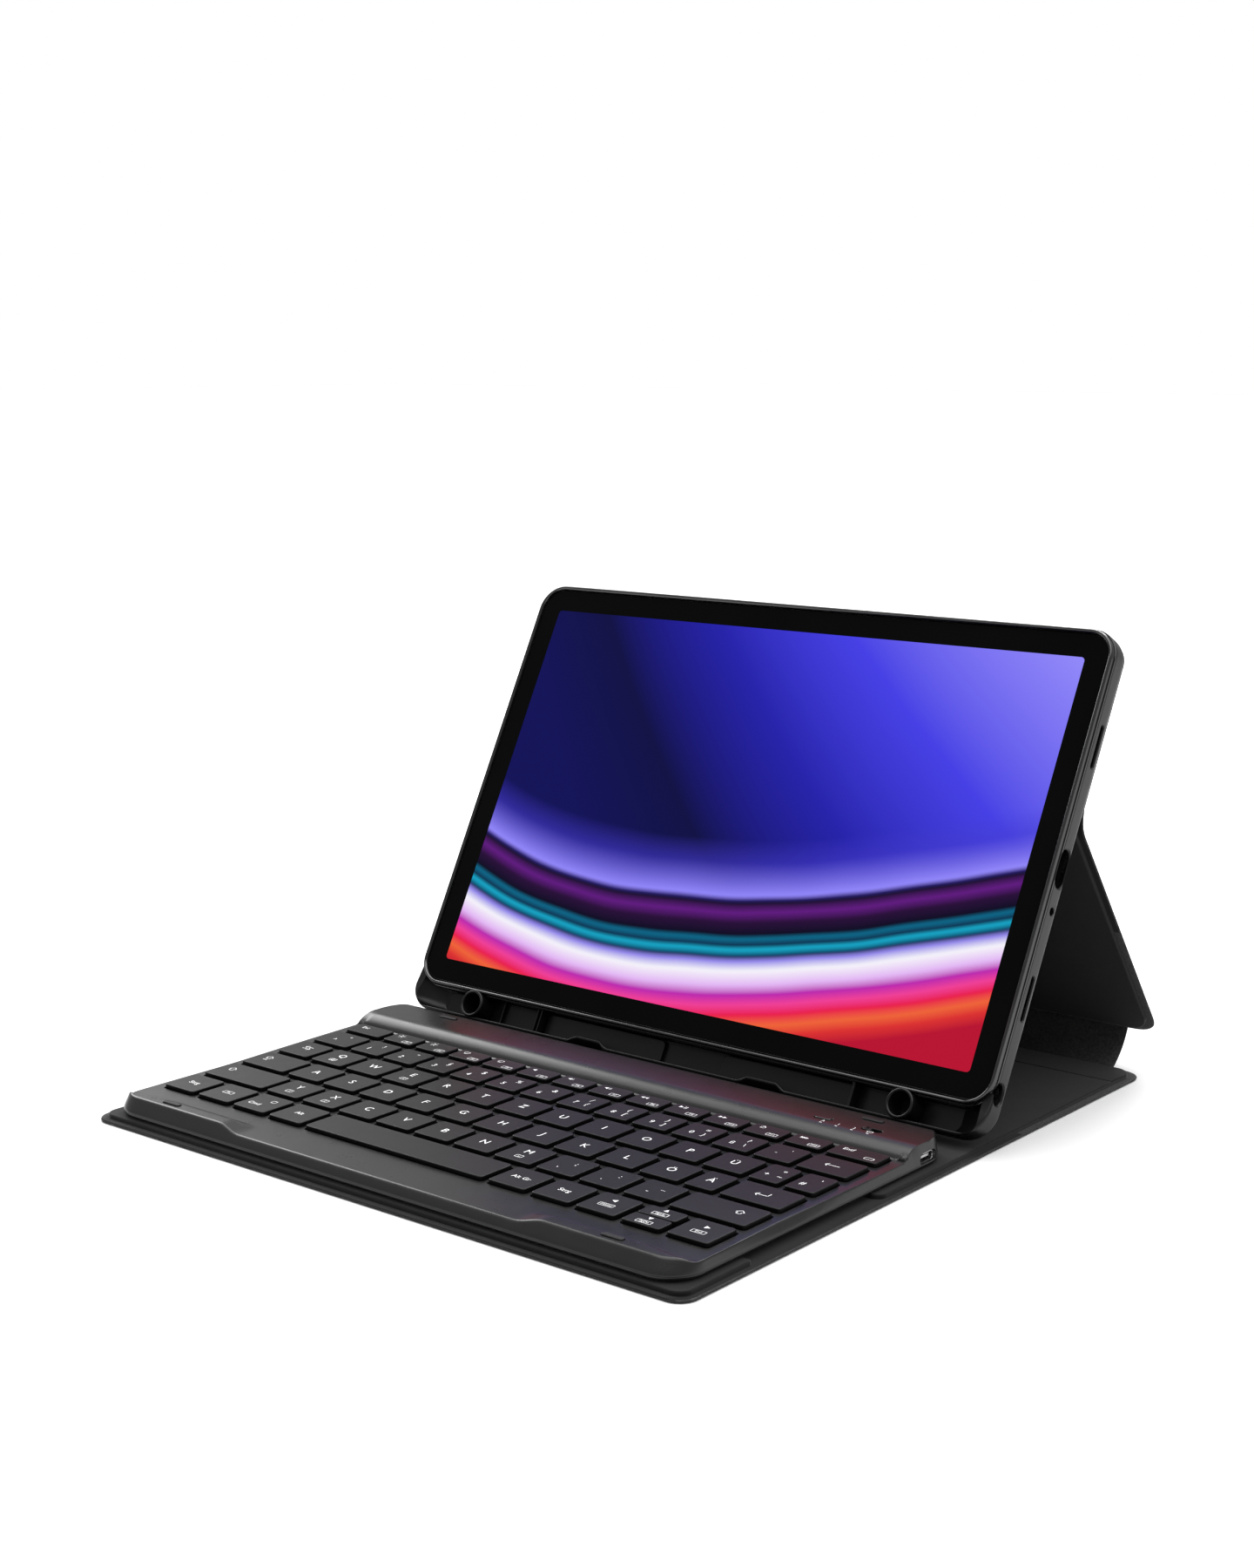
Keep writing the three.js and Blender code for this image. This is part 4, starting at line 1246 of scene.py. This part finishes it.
def text_shape(text, size, x, y):
    """Flat lettering centred on a point, as (vertices, faces)."""
    curve = bpy.data.curves.new("legend", "FONT")
    curve.body = text
    curve.size = size
    curve.align_x = "CENTER"
    curve.align_y = "CENTER"
    curve.resolution_u = 3
    obj = bpy.data.objects.new("legend", curve)
    bpy.context.scene.collection.objects.link(obj)
    bpy.context.view_layer.update()
    mesh = bpy.data.meshes.new_from_object(obj.evaluated_get(bpy.context.evaluated_depsgraph_get()))
    verts = [(v.co.x + x, v.co.y + y, 0.0) for v in mesh.vertices]
    faces = [tuple(p.vertices) for p in mesh.polygons]
    bpy.data.objects.remove(obj)
    bpy.data.meshes.remove(mesh)
    bpy.data.curves.remove(curve)
    return verts, faces


def raised(shape, z):
    verts, faces = shape
    return [(x, y, z) for x, y, _ in verts], faces


def line_shape(points, x, y, width=0.28, closed=False):
    """A drawn line of even width through points given round (x, y)."""
    pairs = list(zip(points, points[1:] + points[:1] if closed else points[1:]))
    verts, faces = [], []
    for (ax, ay), (bx, by) in pairs:
        length = math.hypot(bx - ax, by - ay)
        dx, dy = (bx - ax) / length * width / 2, (by - ay) / length * width / 2
        corners = [(ax - dx - dy, ay - dy + dx), (ax - dx + dy, ay - dy - dx)]
        corners += [(bx + dx + dy, by + dy - dx), (bx + dx - dy, by + dy + dx)]
        faces.append(tuple(range(len(verts), len(verts) + 4)))
        verts += [(x + px, y + py, 0.0) for px, py in corners]
    return verts, faces


def filled(points, x, y):
    return [(x + px, y + py, 0.0) for px, py in points], [tuple(range(len(points)))]


FINE = 0.2  # the width of the thinner lines


def box_shape(x, y, width, height):
    w, h = width / 2, height / 2
    return line_shape([(-w, -h), (w, -h), (w, h), (-w, h)], x, y, FINE, closed=True)


def arrow(x, y, reach=2.6):
    shaft = line_shape([(reach, 0), (-reach, 0)], x, y)
    head = line_shape([(-reach + 1, 1), (-reach, 0), (-reach + 1, -1)], x, y)
    return merged(shaft, head)


def enter_mark(x, y):
    shaft = line_shape([(2.3, 1.4), (2.3, -0.6), (-2.3, -0.6)], x, y)
    head = line_shape([(-1.3, 0.4), (-2.3, -0.6), (-1.3, -1.6)], x, y)
    return merged(shaft, head)


def shift_mark(x, y):
    points = [(0, 1.5), (1.6, 0), (0.8, 0), (0.8, -1.3), (-0.8, -1.3), (-0.8, 0), (-1.6, 0)]
    return line_shape(points, x, y, 0.26, closed=True)


def tab_mark(x, y):
    return merged(arrow(x, y + 0.9, 1.8), turned_round(arrow(0, 0, 1.8), x, y - 0.9))


def turned_round(shape, x, y):
    verts, faces = shape
    return [(x - px, y - py, z) for px, py, z in verts], faces


def triangle(x, y, turn, size=1.0):
    a = math.radians(turn)
    points = [(1.1, 0), (-0.7, 0.95), (-0.7, -0.95)]
    across, along = size * math.cos(a), size * math.sin(a)
    return filled([(px * across - py * along, px * along + py * across) for px, py in points], x, y)


def framed(text, x, y, width=4.0):
    return merged(box_shape(x, y, width, 1.9), text_shape(text, 1.7, x, y))


def media_icon(k, x, y):
    """Small generic marks for the function row: two suns, two screens, three loudspeakers, back, pause,
    forward, a lock and a row of arrows."""
    if k in (0, 1):
        rays = []
        for degrees in range(0, 360, 60):
            c, d = math.cos(math.radians(degrees)), math.sin(math.radians(degrees))
            rays.append(line_shape([(c, d), (1.5 * c, 1.5 * d)], x, y, FINE))
        return merged(box_shape(x, y, 1.0, 1.0), *rays)
    if k in (2, 3):
        return merged(box_shape(x, y, 2.2, 1.4), line_shape([(-0.6, -1.2), (0.6, -1.2)], x, y, FINE))
    if k in (4, 5, 6):
        places = [0.9 + 0.6 * i for i in range(k - 4)]
        waves = [line_shape([(place, 0.6), (place, -0.6)], x, y, FINE) for place in places]
        return merged(triangle(x - 0.4, y, 180, 0.9), *waves)
    if k in (7, 9):
        turn = 180 if k == 7 else 0
        return merged(triangle(x - 0.8, y, turn, 0.8), triangle(x + 0.8, y, turn, 0.8))
    if k == 8:
        bars = [line_shape([(place, 0.8), (place, -0.8)], x, y) for place in (0.8, 1.5)]
        return merged(triangle(x - 0.8, y, 0, 0.9), *bars)
    if k == 10:
        roof = line_shape([(-0.5, 0.8), (0, 1.5), (0.5, 0.8)], x, y, FINE)
        return merged(box_shape(x, y, 1.7, 1.3), roof)
    return merged(*[triangle(x - 0.9 + 0.9 * i, y, 0, 0.7) for i in range(3)])


# ---------------------------------------------------------------- keys

# For each row: middle, depth and key widths. The gaps take up what is left of the field.
KEY_ROWS = {
    "function": (-26.7, 9.2, [16.9] + [14.0] * 12 + [19.0]),
    "number": (-41.3, 13.5, [16.9] + [14.0] * 12 + [19.0]),
    "upper": (-58.3, 14.4, [14.6] + [15.1] * 11 + [11.0, 11.0]),
    "home": (-75.8, 14.4, [21.4] + [15.1] * 10 + [11.0, 22.6]),
    "lower": (-93.3, 14.4, [29.7] + [15.1] * 10 + [28.2]),
    "bottom": (-110.9, 14.8, [14.8, 15.1, 15.1, 15.1, 78.6, 15.0, 15.0, 15.0, 14.4, 15.0]),
}

# Which keys of a row move by themselves. The others of the row are one body.
SINGLE_KEYS = {
    "function": {0: "key_escape", 13: "key_delete"},
    "number": {13: "key_backspace"},
    "upper": {0: "key_tab"},
    "home": {0: "key_caps_lock", 12: "key_enter"},
    "lower": {0: "key_shift_left", 11: "key_shift_right"},
    "bottom": {
        0: "key_control_left", 1: "key_function", 2: "key_command", 3: "key_alt", 4: "key_space",
        5: "key_alt_right", 6: "key_control_right",
        7: "key_arrow_left", 8: "key_arrow_up", 9: "key_arrow_right",
    },
}

# Lettering: main mark, then the shifted one and the third one where a key has them.
LETTERING = {
    "number": ["^°", "1!", "2\"", "3§", "4$", "5%", "6&", "7/{", "8([", "9)]", "0=}", "ß?\\", "´`", None],
    "upper": [None] + [["Q", "@"], "W", ["E", "€"], "R", "T", "Z", "U", "I", "O", "P", "Ü"] + ["+*~", "#'"],
    "home": [None] + list("ASDFGHJKLÖ") + ["Ä", None],
    "lower": [None] + [["Y", "1"], ["X", "2"], "C", "V", "B", "N", ["M", "µ"], ",;", ".:", "-_"] + [None],
}


def key_spots():
    """Each hole of the key field as (x0, x1, y0, y1, row, place in the row, node)."""
    for row, (y, depth, widths) in KEY_ROWS.items():
        gap = (2 * KEY_FIELD_HALF - sum(widths)) / (len(widths) - 1)
        x = -KEY_FIELD_HALF
        for place, width in enumerate(widths):
            node = SINGLE_KEYS[row].get(place, f"keys_{row}_row")
            yield x, x + width, y - depth / 2, y + depth / 2, row, place, node
            x += width + gap


def all_keys():
    """Each key like its spot. The arrows up and down share one."""
    for spot in key_spots():
        x0, x1, y0, y1, row, place, node = spot
        if node == "key_arrow_up":
            middle = (y0 + y1) / 2
            yield x0, x1, middle + 0.3, y1, row, place, "key_arrow_up"
            yield x0, x1, y0, middle - 0.3, row, place, "key_arrow_down"
        else:
            yield spot


def cap(box):
    """One flat keycap with upright sides and a fine rounded edge."""
    edge = [(0.25, KEY_BOTTOM), (0.0, KEY_BOTTOM + 0.3)] + shoulder(KEY_TOP, 0.38, 5)
    return plate(lambda inset: inset_box(box, inset, 1.2 - inset * 0.8, 5), edge)


KEY_WORDS = {
    "key_control_left": ("Strg", 3.0), "key_control_right": ("Strg", 3.0),
    "key_alt": ("Alt", 3.0), "key_alt_right": ("Alt Gr", 2.8),
}

# The triangle's turn, size and rise, then the framed word, its drop and its frame's width.
ARROW_KEYS = {
    "key_arrow_left": (180, 1.0, 2.6, "Home", 1.6, 5.6),
    "key_arrow_right": (0, 1.0, 2.6, "End", 1.6, 5.0),
    "key_arrow_up": (90, 0.9, 1.8, "PgUp", 1.4, 5.6),
    "key_arrow_down": (-90, 0.9, 1.8, "PgDn", 1.4, 5.6),
}

OTHER_KEYS = [f"key_{name}" for name in ("backspace", "tab", "caps_lock", "enter", "function", "command")]
OTHER_KEYS += ["key_shift_left", "key_shift_right"]


def other_mark(node, x0, x1, x, y):
    """The mark of a key that shows a sign or a word with a sign."""
    if node == "key_backspace":
        return arrow(x, y)
    if node == "key_tab":
        return tab_mark(x, y + 1)
    if node == "key_enter":
        return enter_mark(x, y)
    if node == "key_function":
        return framed("Fn", x, y, 4.6)
    if node == "key_command":
        return merged(text_shape("Cmd", 2.8, x - 2.2, y - 2.2), box_shape(x + 2.6, y + 2.4, 1.8, 1.8))
    if node == "key_shift_right":
        return shift_mark(x1 - 7.5, y + 1.0)
    shift = shift_mark(x0 + 5.6, y + 1.4)
    if node == "key_shift_left":
        return shift
    return merged(shift, line_shape([(-0.8, 0), (0.8, 0)], x0 + 5.6, y - 1))


def legend(x0, x1, y0, y1, row, place, node):
    x, y = (x0 + x1) / 2, (y0 + y1) / 2
    if row == "function":
        if place == 0:
            return text_shape("Esc", 2.7, x - 3.4, y + 1.4)
        if place == 13:
            return merged(text_shape("Entf", 2.7, x - 4.4, y + 1.4), box_shape(x + 5.5, y - 2.2, 3.4, 1.6))
        label = framed(f"F{place}", x1 - 3.4, y0 + 2.0)
        return merged(media_icon(place - 1, x0 + 4.0, y1 - 2.8), label)
    if node in KEY_WORDS:
        return text_shape(*KEY_WORDS[node], x, y)
    if node in ARROW_KEYS:
        turn, size, rise, word, drop, width = ARROW_KEYS[node]
        return merged(triangle(x, y + rise, turn, size), framed(word, x, y - drop, width))
    if node in OTHER_KEYS:
        return other_mark(node, x0, x1, x, y)
    if node == "key_space":
        return None
    entry = LETTERING[row][place]
    if isinstance(entry, list):
        return merged(text_shape(entry[0], 4.2, x, y + 1.6), framed(entry[1], x, y - 3.2, 2.8))
    if len(entry) == 1:
        return text_shape(entry, 4.4, x, y)
    spots = [(-1.9, -2.0), (1.9, 2.2), (3.0, -2.0)]
    return merged(*[text_shape(mark, 3.4, x + dx, y + dy) for mark, (dx, dy) in zip(entry, spots)])


def keys():
    groups = {}
    for key in all_keys():
        groups.setdefault(key[6], []).append(key)
    for node, members in groups.items():
        caps = merged(*[cap(key[:4]) for key in members])
        inks = [ink for ink in (legend(*key) for key in members) if ink]
        obj = build(node + "_cap" + ("s" if len(members) > 1 else ""), caps)
        if inks:
            printed = build("ink", raised(merged(*inks), KEY_TOP + 0.025))
            use_material(printed, 1)
            upright(printed)
            join(obj, printed)
        finished(obj, node, [node], "keycap", KEY_PLASTIC, INK, sharp=40)


def upright(obj):
    """Turns flat lettering's faces up."""
    flat = bmesh.new()
    flat.from_mesh(obj.data)
    for face in flat.faces:
        if face.normal.z < 0:
            face.normal_flip()
    flat.to_mesh(obj.data)
    flat.free()


# ---------------------------------------------------------------- inner parts that keep their CAD shape


def inner_parts():
    looks = {
        "base_board": BOARD, "flap_board": BOARD, "kick_board": BOARD, "back_cover_board": BOARD,
        "base_magnet_strip": PLATED, "flap_magnet_strip": PLATED, "keyboard_magnet_strip": PLATED,
        "key_membrane": CIRCUIT, "controller_board": CIRCUIT, "keyboard_battery": BATTERY,
    }
    for node, material in looks.items():
        obj = frame["nodes"][node]
        if not obj.data.materials:
            obj.data.materials.append(material)
        obj.data.materials[0] = material


# ---------------------------------------------------------------- studio


def floor_material():
    s = Surface("studio_floor", specular=0.0)
    s.color(s.noise(3, 1), grey(0.6), grey(0.61))
    s.shader.inputs["Roughness"].default_value = 1.0
    return s.material


AMBIENT = 0.5
SUN_POWER = 5.0
SUN_SPREAD = 85  # degrees across, so that its shadows are soft
SUN_LEAN = (-4, 7, 0)  # degrees


def studio():
    """A wide pale floor under a large soft light. The air behind it is as pale as the floor."""
    reach = 14.0  # metres
    parts = 14
    across = [-reach + 2 * reach * i / parts for i in range(parts + 1)]
    just_below = -0.0003
    verts = [(x, y, just_below) for y in across for x in across]
    faces = []
    for row in range(parts):
        for column in range(parts):
            corner = row * (parts + 1) + column
            faces.append((corner, corner + 1, corner + parts + 2, corner + parts + 1))
    ground = build("studio_floor", (verts, faces), Matrix.Identity(4))
    paint(ground, floor_material())

    world = bpy.data.worlds.new("studio")
    world.use_nodes = True
    nodes, links = world.node_tree.nodes, world.node_tree.links
    ambient = nodes["Background"]
    ambient.inputs["Strength"].default_value = AMBIENT
    backdrop = nodes.new("ShaderNodeBackground")
    for background in (ambient, backdrop):
        background.inputs["Color"].default_value = (1.0, 1.0, 1.0, 1.0)
    seen = nodes.new("ShaderNodeLightPath").outputs["Is Camera Ray"]
    mix = nodes.new("ShaderNodeMixShader")
    links.new(seen, mix.inputs["Fac"])
    links.new(ambient.outputs["Background"], mix.inputs[1])
    links.new(backdrop.outputs["Background"], mix.inputs[2])
    links.new(mix.outputs["Shader"], nodes["World Output"].inputs["Surface"])
    bpy.context.scene.world = world

    sun = bpy.data.lights.new("overhead", "SUN")
    sun.angle = math.radians(SUN_SPREAD)
    sun.energy = SUN_POWER
    lamp = bpy.data.objects.new("overhead", sun)
    lamp.rotation_euler = [math.radians(a) for a in SUN_LEAN]
    bpy.context.scene.collection.objects.link(lamp)
    area_light("left_panel", (-1.1, 0.3, 0.75), (0, -0.05, 0.05), 0.75, 9)
    area_light("rear_panel", (-0.35, 1.3, 0.9), (0, -0.05, 0.02), 0.8, 16)


def area_light(name, place, target, size, power):
    light = bpy.data.lights.new(name, "AREA")
    light.shape = "DISK"
    light.size = size
    light.energy = power
    obj = bpy.data.objects.new(name, light)
    obj.location = place
    obj.rotation_euler = (Vector(target) - Vector(place)).to_track_quat("-Z", "Y").to_euler()
    bpy.context.scene.collection.objects.link(obj)


FOCAL_LENGTH = 54.10
CAMERA_PLACE = (0.50202, -0.62612, 0.25764)
CAMERA_DOWN = 10.3135  # degrees below level
CAMERA_ROLL = -0.05
CAMERA_TURN = 39.155  # degrees left of straight ahead


def camera():
    data = bpy.data.cameras.new("camera")
    data.lens = FOCAL_LENGTH
    data.sensor_fit = "VERTICAL"
    data.sensor_height = 36.0
    obj = bpy.data.objects.new("camera", data)
    obj.location = CAMERA_PLACE
    obj.rotation_euler = [math.radians(a) for a in (90 - CAMERA_DOWN, CAMERA_ROLL, CAMERA_TURN)]
    bpy.context.scene.collection.objects.link(obj)
    bpy.context.scene.camera = obj


front_leather()
kick_leather(*rear_leather())
linings()
tray()
back_cover()
tablet()
keyboard_case()
spacer_pads()
keys()
inner_parts()
studio()
camera()
bpy.context.scene.view_settings.view_transform = "Standard"
